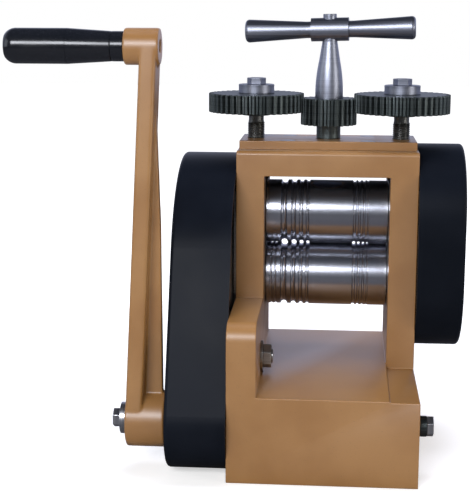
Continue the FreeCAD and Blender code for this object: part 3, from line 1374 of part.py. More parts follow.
solid_handle = doc.addObject("Part::Fuse", "solid_handle")
solid_handle.Base = core
solid_handle.Tool = rod("handle_hub", "handle_hub_radius", "handle_hub_length", "-handle_hub_half")
handle_holes = doc.addObject("Part::MultiFuse", "handle_holes")
handle_holes.Shapes = [
    rod("crossbar_bore", "crossbar_hole", "handle_hub_length + overrun + overrun",
        "-handle_hub_half - overrun"),
    rod("lock_screw_sink", "lock_screw_sink", "lock_screw_head", "lock_screw_seat", True),
    rod("lock_screw_bore", "lock_screw_hole", "lock_screw_seat", "0", True),
]
handle = doc.addObject("Part::Cut", "handle_spindle")
handle.Base = solid_handle
handle.Tool = handle_holes
keep(handle, "handle_spindle")
group("crossbar_arms", [
    turned("crossbar_" + name, [
        ("end_play", "0"), ("end_play", "crossbar_tail_radius"), ("handle_hub_half", "crossbar_tail_radius"),
        ("handle_hub_half", "crossbar_waist_radius"), ("crossbar_waist_end", "crossbar_waist_radius"),
        ("crossbar_shoulder", "crossbar_end_radius"), ("crossbar_dome", "crossbar_dome_radius", "arc"),
        ("crossbar_half", "crossbar_flat"), ("crossbar_half", "0"),
    ], "X", ("0", "0", "handle_axis"), turn)
    for name, turn in (("right", TILT), ("left", TILT * Rotation(Vector(0, 0, 1), 180)))
])
lock_head = rod("lock_screw_top", "lock_screw_radius", "lock_screw_head", "lock_screw_seat", True)
lock_stem = rod("lock_screw_shaft", "lock_screw_stem", "lock_screw_length", "crossbar_hole + seat_fit", True)
lock_screw = doc.addObject("Part::Fuse", "handle_lock_screw")
lock_screw.Base = lock_head
lock_screw.Tool = lock_stem
lock_screw.Refine = True
keep(lock_screw, "handle_lock_screw")

# Check everything and write the sub-parts

doc.recompute()
troubles = []
for thing in doc.Objects:
    if any(word in thing.State for word in ("Invalid", "Error")):
        troubles.append("%s: %s" % (thing.Label, ", ".join(thing.State)))
for thing in parts:
    if thing.Shape.isNull() or not thing.Shape.isValid() or not thing.Shape.Solids:
        troubles.append("%s: no valid shape" % thing.Label)
if troubles:
    raise RuntimeError("; ".join(troubles))
for thing in parts:
    thing.Shape.exportStep("parts/%s.step" % thing.Label)
print("%d sub-parts written" % len(parts))
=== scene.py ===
import json
import math

import bmesh
import bpy
from mathutils import Matrix, Vector


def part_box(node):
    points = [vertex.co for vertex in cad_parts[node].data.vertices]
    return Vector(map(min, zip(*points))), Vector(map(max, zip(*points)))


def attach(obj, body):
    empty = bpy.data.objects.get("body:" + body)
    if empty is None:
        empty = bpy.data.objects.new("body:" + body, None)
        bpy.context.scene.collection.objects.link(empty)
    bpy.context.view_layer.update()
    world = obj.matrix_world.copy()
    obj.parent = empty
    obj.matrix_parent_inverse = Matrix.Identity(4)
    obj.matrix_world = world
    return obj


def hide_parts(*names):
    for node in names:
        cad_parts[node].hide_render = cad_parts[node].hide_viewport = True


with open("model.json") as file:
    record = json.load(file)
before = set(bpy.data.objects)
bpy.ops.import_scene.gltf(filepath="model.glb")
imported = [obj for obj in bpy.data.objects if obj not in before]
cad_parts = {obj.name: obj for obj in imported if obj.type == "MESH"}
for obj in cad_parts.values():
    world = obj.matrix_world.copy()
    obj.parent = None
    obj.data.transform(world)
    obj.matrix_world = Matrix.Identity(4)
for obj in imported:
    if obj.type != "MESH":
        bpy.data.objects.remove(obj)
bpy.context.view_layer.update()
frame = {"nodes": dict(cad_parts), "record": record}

# A jeweller's rolling mill: cast frame, grooved rolls, geared pressing screws, T-handle and crank.
# Metres, in the CAD's own frame: +X along the rolls, +Y away from the user, +Z up.

mm = 0.001
bodiesOfRecord = frame["record"]["behaviour"]["bodies"]
bodyOfNode = {node: body for body, nodes in bodiesOfRecord.items() for node in nodes}
slotOfNode = {entry["node"]: entry["material_slot"] for entry in frame["record"]["subparts"]}
materials = {}


def middleOf(node):
    low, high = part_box(node)
    return (low + high) / 2


# Shared shader effects

def newGroup(name, inputs, outputs):
    group = bpy.data.node_groups.new(name, "ShaderNodeTree")
    for label, kind, value in inputs:
        socket = group.interface.new_socket(label, in_out="INPUT", socket_type="NodeSocket" + kind)
        if value is not None:
            socket.default_value = value
    for label, kind in outputs:
        group.interface.new_socket(label, in_out="OUTPUT", socket_type="NodeSocket" + kind)
    return group, group.nodes.new("NodeGroupInput"), group.nodes.new("NodeGroupOutput")


def math2(tree, operation, first, second, clamp=False):
    node = tree.nodes.new("ShaderNodeMath")
    node.operation = operation
    node.use_clamp = clamp
    for socket, value in zip(node.inputs, (first, second)):
        if isinstance(value, (int, float)):
            socket.default_value = value
        else:
            tree.links.new(value, socket)
    return node.outputs[0]


def ramp(tree, value, low, high):
    node = tree.nodes.new("ShaderNodeMapRange")
    node.interpolation_type = "SMOOTHSTEP"
    tree.links.new(value, node.inputs["Value"])
    node.inputs["From Min"].default_value = low
    node.inputs["From Max"].default_value = high
    return node.outputs[0]


def noise(tree, vector, scale, detail=3.0, roughness=0.55):
    node = tree.nodes.new("ShaderNodeTexNoise")
    node.inputs["Detail"].default_value = detail
    node.inputs["Roughness"].default_value = roughness
    if isinstance(scale, (int, float)):
        node.inputs["Scale"].default_value = scale
    else:
        tree.links.new(scale, node.inputs["Scale"])
    tree.links.new(vector, node.inputs["Vector"])
    return node.outputs["Fac"]


def mixColours(tree, mask, first, second):
    node = tree.nodes.new("ShaderNodeMix")
    node.data_type = "RGBA"
    tree.links.new(mask, [s for s in node.inputs if s.name == "Factor" and s.type == "VALUE"][0])
    for socket, value in zip([s for s in node.inputs if s.type == "RGBA"], (first, second)):
        if isinstance(value, tuple):
            socket.default_value = value + (1.0,)
        else:
            tree.links.new(value, socket)
    return [s for s in node.outputs if s.type == "RGBA"][0]


skinPattern = {"gritScale": 3.1, "speck": (0.66, 0.74), "pitDepth": 0.35, "patch": (0.3, 0.7)}


def makeSkinGroup():
    # Orange peel, pits and slow patches of a sprayed or cast skin
    group, given, result = newGroup(
        "castSkin", [("Vector", "Vector", None), ("Peel", "Float", 420.0), ("Patches", "Float", 22.0)],
        [("Height", "Float"), ("Patch", "Float"), ("Speck", "Float")])
    peel = noise(group, given.outputs["Vector"], given.outputs["Peel"], 4.0)
    patch = noise(group, given.outputs["Vector"], given.outputs["Patches"], 3.0)
    finer = math2(group, "MULTIPLY", given.outputs["Peel"], skinPattern["gritScale"])
    speck = ramp(group, noise(group, given.outputs["Vector"], finer, 2.0), *skinPattern["speck"])
    height = math2(group, "SUBTRACT", peel, math2(group, "MULTIPLY", speck, skinPattern["pitDepth"]))
    group.links.new(height, result.inputs["Height"])
    group.links.new(ramp(group, patch, *skinPattern["patch"]), result.inputs["Patch"])
    group.links.new(speck, result.inputs["Speck"])
    return group


wearAndHighlightPattern = {"samples": 4, "edge": (0.02, 0.16), "noiseScale": 160.0, "broken": (0.38, 0.62)}


def makeWearAndHighlightGroup():
    # 1 along outer edges, broken up by noise: edge wear and painted highlight
    group, given, result = newGroup(
        "edgeWearAndHighlight", [("Vector", "Vector", None), ("Radius", "Float", 0.0008), ("Amount", "Float", 0.5)],
        [("Mask", "Float")])
    bevel = group.nodes.new("ShaderNodeBevel")
    bevel.samples = wearAndHighlightPattern["samples"]
    group.links.new(given.outputs["Radius"], bevel.inputs["Radius"])
    geometry = group.nodes.new("ShaderNodeNewGeometry")
    dot = group.nodes.new("ShaderNodeVectorMath")
    dot.operation = "DOT_PRODUCT"
    group.links.new(bevel.outputs[0], dot.inputs[0])
    group.links.new(geometry.outputs["Normal"], dot.inputs[1])
    edge = ramp(group, math2(group, "SUBTRACT", 1.0, dot.outputs["Value"]), *wearAndHighlightPattern["edge"])
    scratches = noise(group, given.outputs["Vector"], wearAndHighlightPattern["noiseScale"], 5.0)
    broken = ramp(group, scratches, *wearAndHighlightPattern["broken"])
    wornAndLit = math2(group, "MULTIPLY", edge, broken)
    group.links.new(math2(group, "MULTIPLY", wornAndLit, given.outputs["Amount"], True), result.inputs["Mask"])
    return group


lathingPattern = {"slowShare": 0.07, "tone": (0.3, 0.7)}


def makeLathingGroup():
    # Fine rings left by turning or grinding about an axis, from the place along that axis
    group, given, result = newGroup(
        "lathing", [("Along", "Float", 0.0), ("Lines", "Float", 2500.0)],
        [("Height", "Float"), ("Tone", "Float")])
    fine = group.nodes.new("ShaderNodeTexNoise")
    fine.noise_dimensions = "1D"
    fine.inputs["Detail"].default_value = 3.0
    along, lines = given.outputs["Along"], given.outputs["Lines"]
    group.links.new(math2(group, "MULTIPLY", along, lines), fine.inputs["W"])
    slow = group.nodes.new("ShaderNodeTexNoise")
    slow.noise_dimensions = "1D"
    slow.inputs["Detail"].default_value = 2.0
    slowLines = math2(group, "MULTIPLY", lines, lathingPattern["slowShare"])
    group.links.new(math2(group, "MULTIPLY", along, slowLines), slow.inputs["W"])
    group.links.new(fine.outputs["Fac"], result.inputs["Height"])
    group.links.new(ramp(group, slow.outputs["Fac"], *lathingPattern["tone"]), result.inputs["Tone"])
    return group


shadeAndGrimePattern = {"samples": 6, "openness": (0.75, 0.25), "noiseScale": 90.0, "patch": (0.3, 0.6)}


def makeShadeAndGrimeGroup():
    # 1 in corners, hollows and between teeth: painted shade from ambient occlusion, broken up by patches of dirt
    group, given, result = newGroup(
        "grime", [("Vector", "Vector", None), ("Reach", "Float", 0.004)], [("Mask", "Float")])
    hollow = group.nodes.new("ShaderNodeAmbientOcclusion")
    hollow.samples = shadeAndGrimePattern["samples"]
    group.links.new(given.outputs["Reach"], hollow.inputs["Distance"])
    shade = ramp(group, hollow.outputs["AO"], *shadeAndGrimePattern["openness"])
    stains = noise(group, given.outputs["Vector"], shadeAndGrimePattern["noiseScale"], 4.0)
    patch = ramp(group, stains, *shadeAndGrimePattern["patch"])
    group.links.new(math2(group, "MULTIPLY", shade, patch), result.inputs["Mask"])
    return group


print("shader effects")
skinGroup = makeSkinGroup()
wearAndHighlightGroup = makeWearAndHighlightGroup()
lathingGroup = makeLathingGroup()
shadeAndGrimeGroup = makeShadeAndGrimeGroup()


# Materials

class Finish:
    # Node helpers of one material

    def __init__(self, name):
        self.material = bpy.data.materials.new(name)
        self.material.use_nodes = True
        self.tree = self.material.node_tree
        self.shader = self.tree.nodes["Principled BSDF"]
        coords = self.tree.nodes.new("ShaderNodeTexCoord")
        self.place = coords.outputs["Object"]

    def plain(self, **values):
        for label, value in values.items():
            self.shader.inputs[label.replace("_", " ")].default_value = value

    def group(self, group, **values):
        node = self.tree.nodes.new("ShaderNodeGroup")
        node.node_tree = group
        if "Vector" in node.inputs:
            self.tree.links.new(self.place, node.inputs["Vector"])
        for label, value in values.items():
            if isinstance(value, (int, float)):
                node.inputs[label].default_value = value
            else:
                self.tree.links.new(value, node.inputs[label])
        return node

    def axis(self, letter):
        parts = self.tree.nodes.new("ShaderNodeSeparateXYZ")
        self.tree.links.new(self.place, parts.inputs[0])
        return parts.outputs[letter]

    def blendColour(self, mask, first, second):
        return mixColours(self.tree, mask, first, second)

    def blendValue(self, mask, first, second):
        node = self.tree.nodes.new("ShaderNodeMapRange")
        self.tree.links.new(mask, node.inputs["Value"])
        node.inputs["To Min"].default_value = first
        node.inputs["To Max"].default_value = second
        return node.outputs[0]

    def feed(self, label, value):
        self.tree.links.new(value, self.shader.inputs[label])

    def bump(self, height, strength, distance):
        node = self.tree.nodes.new("ShaderNodeBump")
        node.inputs["Strength"].default_value = strength
        node.inputs["Distance"].default_value = distance
        self.tree.links.new(height, node.inputs["Height"])
        self.feed("Normal", node.outputs[0])


castLook = {
    "paint": (0.330, 0.150, 0.036),
    "lightPatch": (0.390, 0.188, 0.050),
    "edge": (0.55, 0.36, 0.20),
    "speck": (0.21, 0.105, 0.036),
    "peel": 380.0,
    "patches": 16.0,
    "peelStrength": 0.35,
    "peelDepth": 0.00012,
    "rough": (0.34, 0.42),
    "wearAndHighlightRadius": 0.0009,
    "wearAndHighlightAmount": 0.55,
    "shadeAndGrimeReach": 0.006,
    "shadeAndGrimeAmount": 0.35,
    "bare": (0.022, 0.019, 0.016),  # painted shade: the underside over the rolls darkened to near black
    "underShadeFacing": -0.95,            # highest Z of its normal
    "underShadeAbove": 0.25,
    "underShadeRightOf": -0.1,
}


def castPaint():
    finish = Finish("castPaint")
    skin = finish.group(skinGroup, Peel=castLook["peel"], Patches=castLook["patches"])
    wearAndHighlight = finish.group(wearAndHighlightGroup, Radius=castLook["wearAndHighlightRadius"], Amount=castLook["wearAndHighlightAmount"])
    grime = finish.group(shadeAndGrimeGroup, Reach=castLook["shadeAndGrimeReach"])
    colour = finish.blendColour(skin.outputs["Patch"], castLook["paint"], castLook["lightPatch"])
    colour = finish.blendColour(skin.outputs["Speck"], colour, castLook["speck"])
    # Lighter paint along outer edges: edge wear and painted highlight
    colour = finish.blendColour(wearAndHighlight.outputs["Mask"], colour, castLook["edge"])
    # Painted shade in hollows, with patches of dirt, towards the speck colour
    soft = math2(finish.tree, "MULTIPLY", grime.outputs["Mask"], castLook["shadeAndGrimeAmount"])
    colour = finish.blendColour(soft, colour, castLook["speck"])
    # Painted shade: faces that look down, high over the rolls, get a near-black colour
    facing = finish.tree.nodes.new("ShaderNodeNewGeometry")
    parts = finish.tree.nodes.new("ShaderNodeSeparateXYZ")
    finish.tree.links.new(facing.outputs["Normal"], parts.inputs[0])
    under = math2(finish.tree, "LESS_THAN", parts.outputs["Z"], castLook["underShadeFacing"])
    high = math2(finish.tree, "GREATER_THAN", finish.axis("Z"), castLook["underShadeAbove"])
    inside = math2(finish.tree, "GREATER_THAN", finish.axis("X"), castLook["underShadeRightOf"])
    bare = math2(finish.tree, "MULTIPLY", math2(finish.tree, "MULTIPLY", under, high), inside)
    finish.feed("Base Color", finish.blendColour(bare, colour, castLook["bare"]))
    finish.feed("Roughness", finish.blendValue(skin.outputs["Patch"], *castLook["rough"]))
    finish.bump(skin.outputs["Height"], castLook["peelStrength"], castLook["peelDepth"])
    finish.plain(Specular_IOR_Level=0.6, Coat_Weight=1.0, Coat_Roughness=0.4)
    return finish.material


coverLook = {
    "paint": (0.005, 0.0065, 0.010), "patch": (0.008, 0.010, 0.015), "edge": (0.03, 0.035, 0.045),
    "peel": 300.0, "patches": 9.0, "peelStrength": 0.3, "peelDepth": 0.0001,
    "rough": (0.33, 0.42), "wearAndHighlightRadius": 0.001, "wearAndHighlightAmount": 0.3,
}


def coverPaint():
    finish = Finish("coverPaint")
    skin = finish.group(skinGroup, Peel=coverLook["peel"], Patches=coverLook["patches"])
    wearAndHighlight = finish.group(wearAndHighlightGroup, Radius=coverLook["wearAndHighlightRadius"], Amount=coverLook["wearAndHighlightAmount"])
    colour = finish.blendColour(skin.outputs["Patch"], coverLook["paint"], coverLook["patch"])
    finish.feed("Base Color", finish.blendColour(wearAndHighlight.outputs["Mask"], colour, coverLook["edge"]))
    finish.feed("Roughness", finish.blendValue(skin.outputs["Patch"], *coverLook["rough"]))
    finish.bump(skin.outputs["Height"], coverLook["peelStrength"], coverLook["peelDepth"])
    finish.plain(Specular_IOR_Level=0.07)
    return finish.material


# What all the steels and the bronze share
steelCommon = {"wearAndHighlightRadius": 0.0004, "wearAndHighlightAmount": 0.5, "dirt": (0.03, 0.028, 0.022), "lineDepth": 0.00003}


def steel(name, look):
    finish = Finish(name)
    lines = finish.group(lathingGroup, Along=finish.axis(look["axis"]), Lines=look["lines"])
    grime = finish.group(shadeAndGrimeGroup, Reach=look["reach"])
    wearAndHighlight = finish.group(wearAndHighlightGroup, Radius=steelCommon["wearAndHighlightRadius"], Amount=steelCommon["wearAndHighlightAmount"])
    colour = finish.blendColour(lines.outputs["Tone"], look["dark"], look["light"])
    colour = finish.blendColour(wearAndHighlight.outputs["Mask"], colour, look["edge"])
    # Painted shade in hollows, with patches of dirt, towards a near-black colour
    amount = math2(finish.tree, "MULTIPLY", grime.outputs["Mask"], look["dirt"])
    finish.feed("Base Color", finish.blendColour(amount, colour, steelCommon["dirt"]))
    finish.feed("Roughness", finish.blendValue(lines.outputs["Tone"], *look["rough"]))
    finish.bump(lines.outputs["Height"], look["bump"], steelCommon["lineDepth"])
    finish.plain(Metallic=1.0)
    return finish.material


steelLooks = {
    "roll_steel": {
        "dark": (0.42, 0.43, 0.48), "light": (0.46, 0.47, 0.52), "edge": (0.7, 0.7, 0.7),
        "axis": "X", "lines": 3000.0, "reach": 0.002, "dirt": 0.5, "rough": (0.23, 0.27), "bump": 0.012,
    },
    "top_gear_steel": {
        "dark": (0.085, 0.1, 0.1), "light": (0.12, 0.14, 0.14), "edge": (0.35, 0.38, 0.38),
        "axis": "Z", "lines": 1600.0, "reach": 0.003, "dirt": 0.7, "rough": (0.36, 0.46), "bump": 0.2,
    },
    "bright_steel": {
        "dark": (0.29, 0.305, 0.365), "light": (0.36, 0.375, 0.44), "edge": (0.5, 0.52, 0.58),
        "axis": "Z", "lines": 1800.0, "reach": 0.002, "dirt": 0.4, "rough": (0.36, 0.45), "bump": 0.04,
    },
    "machined_steel": {
        "dark": (0.38, 0.37, 0.35), "light": (0.47, 0.46, 0.44), "edge": (0.65, 0.65, 0.63),
        "axis": "Z", "lines": 1500.0, "reach": 0.003, "dirt": 0.8, "rough": (0.28, 0.38), "bump": 0.2,
    },
    "fastener_steel": {
        "dark": (0.48, 0.48, 0.5), "light": (0.56, 0.56, 0.57), "edge": (0.75, 0.75, 0.75),
        "axis": "X", "lines": 1200.0, "reach": 0.002, "dirt": 0.5, "rough": (0.3, 0.4), "bump": 0.08,
    },
    "block_iron": {
        "dark": (0.16, 0.16, 0.155), "light": (0.22, 0.22, 0.21), "edge": (0.5, 0.5, 0.48),
        "axis": "Z", "lines": 900.0, "reach": 0.004, "dirt": 0.7, "rough": (0.38, 0.5), "bump": 0.25,
    },
    "bronze": {
        "dark": (0.5, 0.32, 0.14), "light": (0.6, 0.4, 0.18), "edge": (0.75, 0.55, 0.3),
        "axis": "X", "lines": 1600.0, "reach": 0.002, "dirt": 0.6, "rough": (0.26, 0.34), "bump": 0.15,
    },
}

gripLook = {
    "plastic": (0.008, 0.009, 0.012), "scuff": (0.03, 0.032, 0.036), "rough": (0.16, 0.26),
    "peel": 260.0, "patches": 45.0, "peelStrength": 0.2, "peelDepth": 0.00008,
}


def gripPlastic():
    finish = Finish("gripPlastic")
    skin = finish.group(skinGroup, Peel=gripLook["peel"], Patches=gripLook["patches"])
    colour = finish.blendColour(skin.outputs["Speck"], gripLook["plastic"], gripLook["scuff"])
    finish.feed("Base Color", colour)
    finish.feed("Roughness", finish.blendValue(skin.outputs["Patch"], *gripLook["rough"]))
    finish.bump(skin.outputs["Height"], gripLook["peelStrength"], gripLook["peelDepth"])
    finish.plain(Specular_IOR_Level=0.55)
    return finish.material


print("materials")
materials["cast_paint"] = castPaint()
materials["cover_paint"] = coverPaint()
materials["grip_plastic"] = gripPlastic()
for slotName, look in steelLooks.items():
    materials[slotName] = steel(slotName, look)

for node, thing in frame["nodes"].items():
    thing.data.materials.clear()
    thing.data.materials.append(materials[slotOfNode[node]])


# Mesh making: metres and degrees

meshLimits = {"weldWithin": 1e-6, "flatWithin": 0.4, "sharpMade": 34.0, "sharpCopied": 40.0}


def addPiece(name, mesh, slot, node):
    mesh.materials.clear()
    mesh.materials.append(materials[slot])
    piece = bpy.data.objects.new(name, mesh)
    bpy.context.scene.collection.objects.link(piece)
    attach(piece, bodyOfNode[node])
    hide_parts(node)
    return piece


def meshOf(form, name, sharp=meshLimits["sharpMade"]):
    mesh = bpy.data.meshes.new(name)
    bmesh.ops.recalc_face_normals(form, faces=form.faces)
    form.to_mesh(mesh)
    form.free()
    mesh.shade_smooth()
    mesh.set_sharp_from_angle(angle=math.radians(sharp))
    return mesh


def turnedAngles(count):
    return [2 * math.pi * number / count for number in range(count)]


def addSkin(form, axis, place, rings, angles):
    # A closed skin through rings: a place along the axis, and one radius or one for every angle
    loops = []
    for along, radius in rings:
        loop = []
        for number, angle in enumerate(angles):
            reach = radius[number] if isinstance(radius, list) else radius
            side, rise = place[0] + reach * math.cos(angle), place[1] + reach * math.sin(angle)
            loop.append(form.verts.new((along, side, rise) if axis == "X" else (side, rise, along)))
        loops.append(loop)
    for low, high in zip(loops, loops[1:]):
        for first in range(len(angles)):
            second = (first + 1) % len(angles)
            form.faces.new((low[first], low[second], high[second], high[first]))
    form.faces.new(loops[0])
    form.faces.new(loops[-1])


def withModifiers(mesh, name, setUp):
    # The mesh that a few modifiers leave
    thing = bpy.data.objects.new(name, mesh)
    bpy.context.scene.collection.objects.link(thing)
    setUp(thing.modifiers)
    shaped = bpy.data.meshes.new_from_object(thing.evaluated_get(bpy.context.evaluated_depsgraph_get()))
    bpy.data.objects.remove(thing)
    bpy.data.meshes.remove(mesh)
    shaped.name = name
    return shaped


def cleanCopy(node, name):
    # The node's mesh with its flat faces whole again
    form = bmesh.new()
    form.from_mesh(frame["nodes"][node].data)
    bmesh.ops.remove_doubles(form, verts=form.verts, dist=meshLimits["weldWithin"])
    flat = math.radians(meshLimits["flatWithin"])
    bmesh.ops.dissolve_limit(form, angle_limit=flat, verts=form.verts, edges=form.edges)
    return meshOf(form, name, meshLimits["sharpCopied"])


def solidsOf(node):
    # The lowest and highest corner of each separate solid of a node
    form = bmesh.new()
    form.from_mesh(frame["nodes"][node].data)
    bmesh.ops.remove_doubles(form, verts=form.verts, dist=meshLimits["weldWithin"])
    waiting = set(form.verts)
    boxes = []
    while waiting:
        edge = [waiting.pop()]
        found = list(edge)
        while edge:
            vert = edge.pop()
            for link in vert.link_edges:
                other = link.other_vert(vert)
                if other in waiting:
                    waiting.remove(other)
                    edge.append(other)
                    found.append(other)
        low, high = (Vector(pick(v.co[i] for v in found) for i in range(3)) for pick in (min, max))
        boxes.append((low, high))
    form.free()
    return boxes


# Castings and machined pieces: the solid with its edges broken, in mm

brokenEdges = {
    "mill_frame": 0.9, "top_cap": 0.9,
    "left_top_gear": 0.4, "right_top_gear": 0.4, "handle_pinion": 0.4,
    "left_collar": 0.5, "right_collar": 0.5, "left_screw_bolt": 0.6, "right_screw_bolt": 0.6,
    "handle_lock_screw": 0.5,
    "crank_bolt": 0.6, "crank_washer": 0.3, "tail_bolt": 0.6, "tail_washer": 0.4,
    "idler_nut": 0.6, "idler_washer": 0.3,
    "grip_ferrule": 0.8, "grip_sleeve": 0.5, "cap_screws": 0.4, "block_keepers": 0.4,
    "upper_block_left": 0.5, "upper_block_right": 0.5, "lower_block_left": 0.5, "lower_block_right": 0.5,
}
edgeBreak = {"segments": 2, "sharperThan": 48.0}
slotInstead = {"grip_ferrule": "grip_plastic", "tail_washer": "top_gear_steel"}


def breakEdges(node, width):
    def setUp(modifiers):
        bevel = modifiers.new("edges", "BEVEL")
        bevel.width = width * mm
        bevel.segments = edgeBreak["segments"]
        bevel.limit_method = "ANGLE"
        bevel.angle_limit = math.radians(edgeBreak["sharperThan"])
        bevel.use_clamp_overlap = False
        bevel.harden_normals = True
        bevel.miter_outer = "MITER_ARC"
    name = node.title().replace("_", "")
    name = name[0].lower() + name[1:]
    shaped = withModifiers(cleanCopy(node, name), name, setUp)
    addPiece(name, shaped, slotInstead.get(node, slotOfNode[node]), node)


print("castings and machined pieces")
for edgeNode, edgeWidth in brokenEdges.items():
    breakEdges(edgeNode, edgeWidth)


# Crank arm: a casting, every inner corner filled

crankCasting = {"grain": 1.1, "rounds": 7, "smoothing": 0.5}


def makeCrankArm():
    def setUp(modifiers):
        remesh = modifiers.new("cast", "REMESH")
        remesh.mode = "VOXEL"
        remesh.voxel_size = crankCasting["grain"] * mm
        smooth = modifiers.new("fettled", "SMOOTH")
        smooth.factor = crankCasting["smoothing"]
        smooth.iterations = crankCasting["rounds"]
    shaped = withModifiers(cleanCopy("crank_arm", "crankCasting"), "crankCasting", setUp)
    shaped.shade_smooth()
    addPiece("crankCasting", shaped, slotOfNode["crank_arm"], "crank_arm")


print("crank arm")
makeCrankArm()


# Pressing screws with their thread, mm

pressingScrew = {
    "radius": 9.0, "neckRadius": 7.75, "threadAboveCap": 16.0, "shoulder": 2.0,
    "pitch": 2.0, "threadDepth": 1.05, "ringsPerTurn": 8, "stemRadius": 5.95, "topLip": 0.4, "sides": 48,
}


def makePressingScrew(side):
    size = pressingScrew
    node = side + "_screw"
    low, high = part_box(node)
    middle = middleOf(node)
    angles = turnedAngles(size["sides"])
    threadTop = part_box("top_cap")[1].z + size["threadAboveCap"] * mm
    step = size["pitch"] / size["ringsPerTurn"] * mm
    rings = [(low.z, (size["radius"] - size["threadDepth"]) * mm)]
    for number in range(1, int((threadTop - low.z) / step)):
        along = low.z + number * step
        turns = along / (size["pitch"] * mm)
        radii = []
        for angle in angles:
            phase = (turns - angle / (2 * math.pi)) % 1.0
            radii.append((size["radius"] - size["threadDepth"] * abs(2 * phase - 1)) * mm)
        rings.append((along, radii))
    neck = size["neckRadius"] * mm
    stem = size["stemRadius"] * mm
    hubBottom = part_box(side + "_top_gear")[0].z
    rings += [(threadTop, neck + size["topLip"] * mm), (threadTop + size["shoulder"] * mm, neck), (hubBottom, neck),
              (hubBottom, stem), (high.z, stem)]
    form = bmesh.new()
    addSkin(form, "Z", (middle.x, middle.y), rings, angles)
    addPiece(side + "PressingScrew", meshOf(form, side + "PressingScrew"), "block_iron", node)


print("pressing screws")
makePressingScrew("left")
makePressingScrew("right")


# Socket screws of the covers, mm

socketScrew = {"headHeight": 6.0, "chamfer": 0.6, "socketFlats": 5.0, "socketDepth": 3.0,
               "mouthScale": 1.06, "mouthDepth": 0.2, "shankRadius": 2.95, "sides": 48}


def hexRadii(flats, angles):
    third = math.pi / 3
    return [flats / 2 / math.cos(angle % third - third / 2) for angle in angles]


def makeSocketScrews():
    size = socketScrew
    angles = turnedAngles(size["sides"])
    socket = [radius * mm for radius in hexRadii(size["socketFlats"], angles)]
    form = bmesh.new()
    for low, high in solidsOf("cover_screws"):
        outward = -1 if low.x < 0 else 1
        face, end = (low.x, high.x) if outward < 0 else (high.x, low.x)
        head = (high.z - low.z) / 2
        drop = [outward * size[key] * mm for key in ("headHeight", "chamfer", "socketDepth", "mouthDepth")]
        shank = size["shankRadius"] * mm
        mouth = [radius * size["mouthScale"] for radius in socket]
        rings = [(end, shank), (face - drop[0], shank), (face - drop[0], head), (face - drop[1], head),
                 (face, head - size["chamfer"] * mm), (face, mouth), (face - drop[3], socket),
                 (face - drop[2], socket)]
        addSkin(form, "X", ((low.y + high.y) / 2, (low.z + high.z) / 2), rings, angles)
    name = "coverSocketScrews"
    addPiece(name, meshOf(form, name), slotOfNode["cover_screws"], "cover_screws")


print("cover screws")
makeSocketScrews()


# Studio: pale floor, white surroundings to the camera, soft light from the front left

studio = {
    "floorHalf": 6.0,
    "floorColour": (0.80, 0.77, 0.72),
    "floorInGloss": (0.16, 0.155, 0.15),
    "floorRoughness": 0.9,
    "glowNear": 0.55,
    "whiteFrom": 0.20,     # metres from the mill
    "whiteTo": 0.60,
    "worldFront": (0.16, 0.165, 0.18),
    "worldBack": (0.58, 0.62, 0.82),
    "worldTop": (0.05, 0.055, 0.07),
    "backFrom": (-0.2, 0.5),  # Y of the direction
    "topFrom": (0.35, 0.75),  # Z of the direction
    "lamps": [
        # name, place, aim, width, height, watts, colour, seen in gloss
        ("keySoftbox", (-0.55, -1.70, 1.02), (0, 0, 0.24), 1.0, 0.45, 23.0, (0.91, 0.935, 1.0), True),
        ("leftFill", (-1.6, -0.5, 0.7), (-0.1, 0, 0.2), 0.8, 0.8, 3.0, (0.84, 0.90, 1.0), True),
        ("topFill", (0.0, 0.25, 1.6), (0, 0, 0.3), 1.4, 0.9, 24.0, (0.72, 0.78, 1.0), False),
        ("rightFill", (1.6, -0.9, 0.6), (0, 0, 0.25), 0.8, 0.8, 7.5, (1.0, 0.98, 0.95), True),
    ],
}


def makeFloor():
    half = studio["floorHalf"]
    mesh = bpy.data.meshes.new("floor")
    corners = [(-half, -half, 0), (half, -half, 0), (half, half, 0), (-half, half, 0)]
    mesh.from_pydata(corners, [], [(0, 1, 2, 3)])
    floor = bpy.data.objects.new("floor", mesh)
    bpy.context.scene.collection.objects.link(floor)
    material = bpy.data.materials.new("paleFloor")
    material.use_nodes = True
    tree = material.node_tree
    shader = tree.nodes["Principled BSDF"]
    shader.inputs["Roughness"].default_value = studio["floorRoughness"]
    shader.inputs["Specular IOR Level"].default_value = 0.0
    light = tree.nodes.new("ShaderNodeLightPath")
    inGloss = light.outputs["Is Glossy Ray"]
    colour = mixColours(tree, inGloss, studio["floorColour"], studio["floorInGloss"])
    tree.links.new(colour, shader.inputs["Base Color"])
    place = tree.nodes.new("ShaderNodeNewGeometry")
    reach = tree.nodes.new("ShaderNodeVectorMath")
    reach.operation = "LENGTH"
    tree.links.new(place.outputs["Position"], reach.inputs[0])
    far = ramp(tree, reach.outputs["Value"], studio["whiteFrom"], studio["whiteTo"])
    glow = math2(tree, "MAXIMUM", far, studio["glowNear"])
    shader.inputs["Emission Color"].default_value = (1, 1, 1, 1)
    toCamera = math2(tree, "MULTIPLY", glow, light.outputs["Is Camera Ray"])
    tree.links.new(toCamera, shader.inputs["Emission Strength"])
    mesh.materials.append(material)


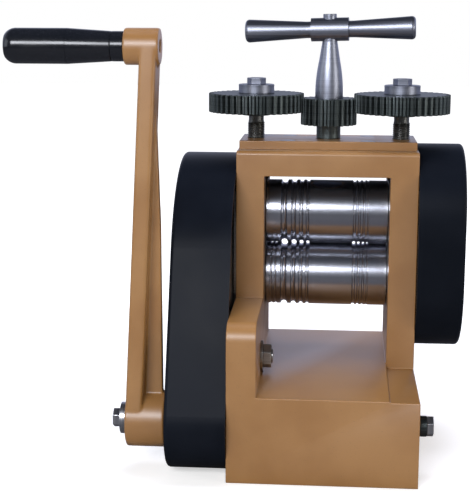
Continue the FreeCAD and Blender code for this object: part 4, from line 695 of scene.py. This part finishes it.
def makeWorld():
    world = bpy.data.worlds.new("studio")
    bpy.context.scene.world = world
    world.use_nodes = True
    tree = world.node_tree
    coords = tree.nodes.new("ShaderNodeTexCoord")
    parts = tree.nodes.new("ShaderNodeSeparateXYZ")
    tree.links.new(coords.outputs["Generated"], parts.inputs[0])
    back = ramp(tree, parts.outputs["Y"], *studio["backFrom"])
    above = ramp(tree, parts.outputs["Z"], *studio["topFrom"])
    around = mixColours(tree, back, studio["worldFront"], studio["worldBack"])
    sky = mixColours(tree, above, around, studio["worldTop"])
    light = tree.nodes.new("ShaderNodeLightPath")
    seen = mixColours(tree, light.outputs["Is Camera Ray"], sky, (1.0, 1.0, 1.0))
    tree.links.new(seen, tree.nodes["Background"].inputs["Color"])


def makeLamps():
    for name, place, aim, width, height, watts, colour, inGloss in studio["lamps"]:
        lamp = bpy.data.lights.new(name, "AREA")
        lamp.shape = "RECTANGLE"
        lamp.size = width
        lamp.size_y = height
        lamp.energy = watts
        lamp.color = colour
        thing = bpy.data.objects.new(name, lamp)
        bpy.context.scene.collection.objects.link(thing)
        thing.location = place
        thing.visible_glossy = inGloss
        thing.rotation_euler = (Vector(aim) - Vector(place)).to_track_quat("-Z", "Y").to_euler()


# Camera fitted to the rolls, wheels, cap, window and base of the photograph

view = {
    "place": (0.0088, -1.3003, 0.4427),
    "leftTurn": 4.6,        # degrees
    "down": 10.7,
    "roll": 0.2,            # picture turned clockwise
    "focalPixels": 1263.4,
    "pictureHeight": 493,
    "sensor": 36.0,
    "nearest": 0.01,
}


def makeCamera():
    turn, down, roll = (math.radians(view[k]) for k in ("leftTurn", "down", "roll"))
    level = math.cos(down)
    forward = Vector((-math.sin(turn) * level, math.cos(turn) * level, -math.sin(down)))
    right = forward.cross(Vector((0, 0, 1))).normalized()
    up = right.cross(forward)
    tiltedRight = right * math.cos(roll) + up * math.sin(roll)
    tiltedUp = up * math.cos(roll) - right * math.sin(roll)
    data = bpy.data.cameras.new("camera")
    data.sensor_fit = "VERTICAL"
    data.sensor_height = view["sensor"]
    data.lens = view["focalPixels"] / view["pictureHeight"] * view["sensor"]
    data.clip_start = view["nearest"]
    camera = bpy.data.objects.new("camera", data)
    bpy.context.scene.collection.objects.link(camera)
    turned = Matrix((tiltedRight, tiltedUp, -forward)).transposed().to_4x4()
    camera.matrix_world = Matrix.Translation(Vector(view["place"])) @ turned
    bpy.context.scene.camera = camera


print("studio")
makeFloor()
makeWorld()
makeLamps()
makeCamera()
bpy.context.scene.view_settings.view_transform = "Standard"
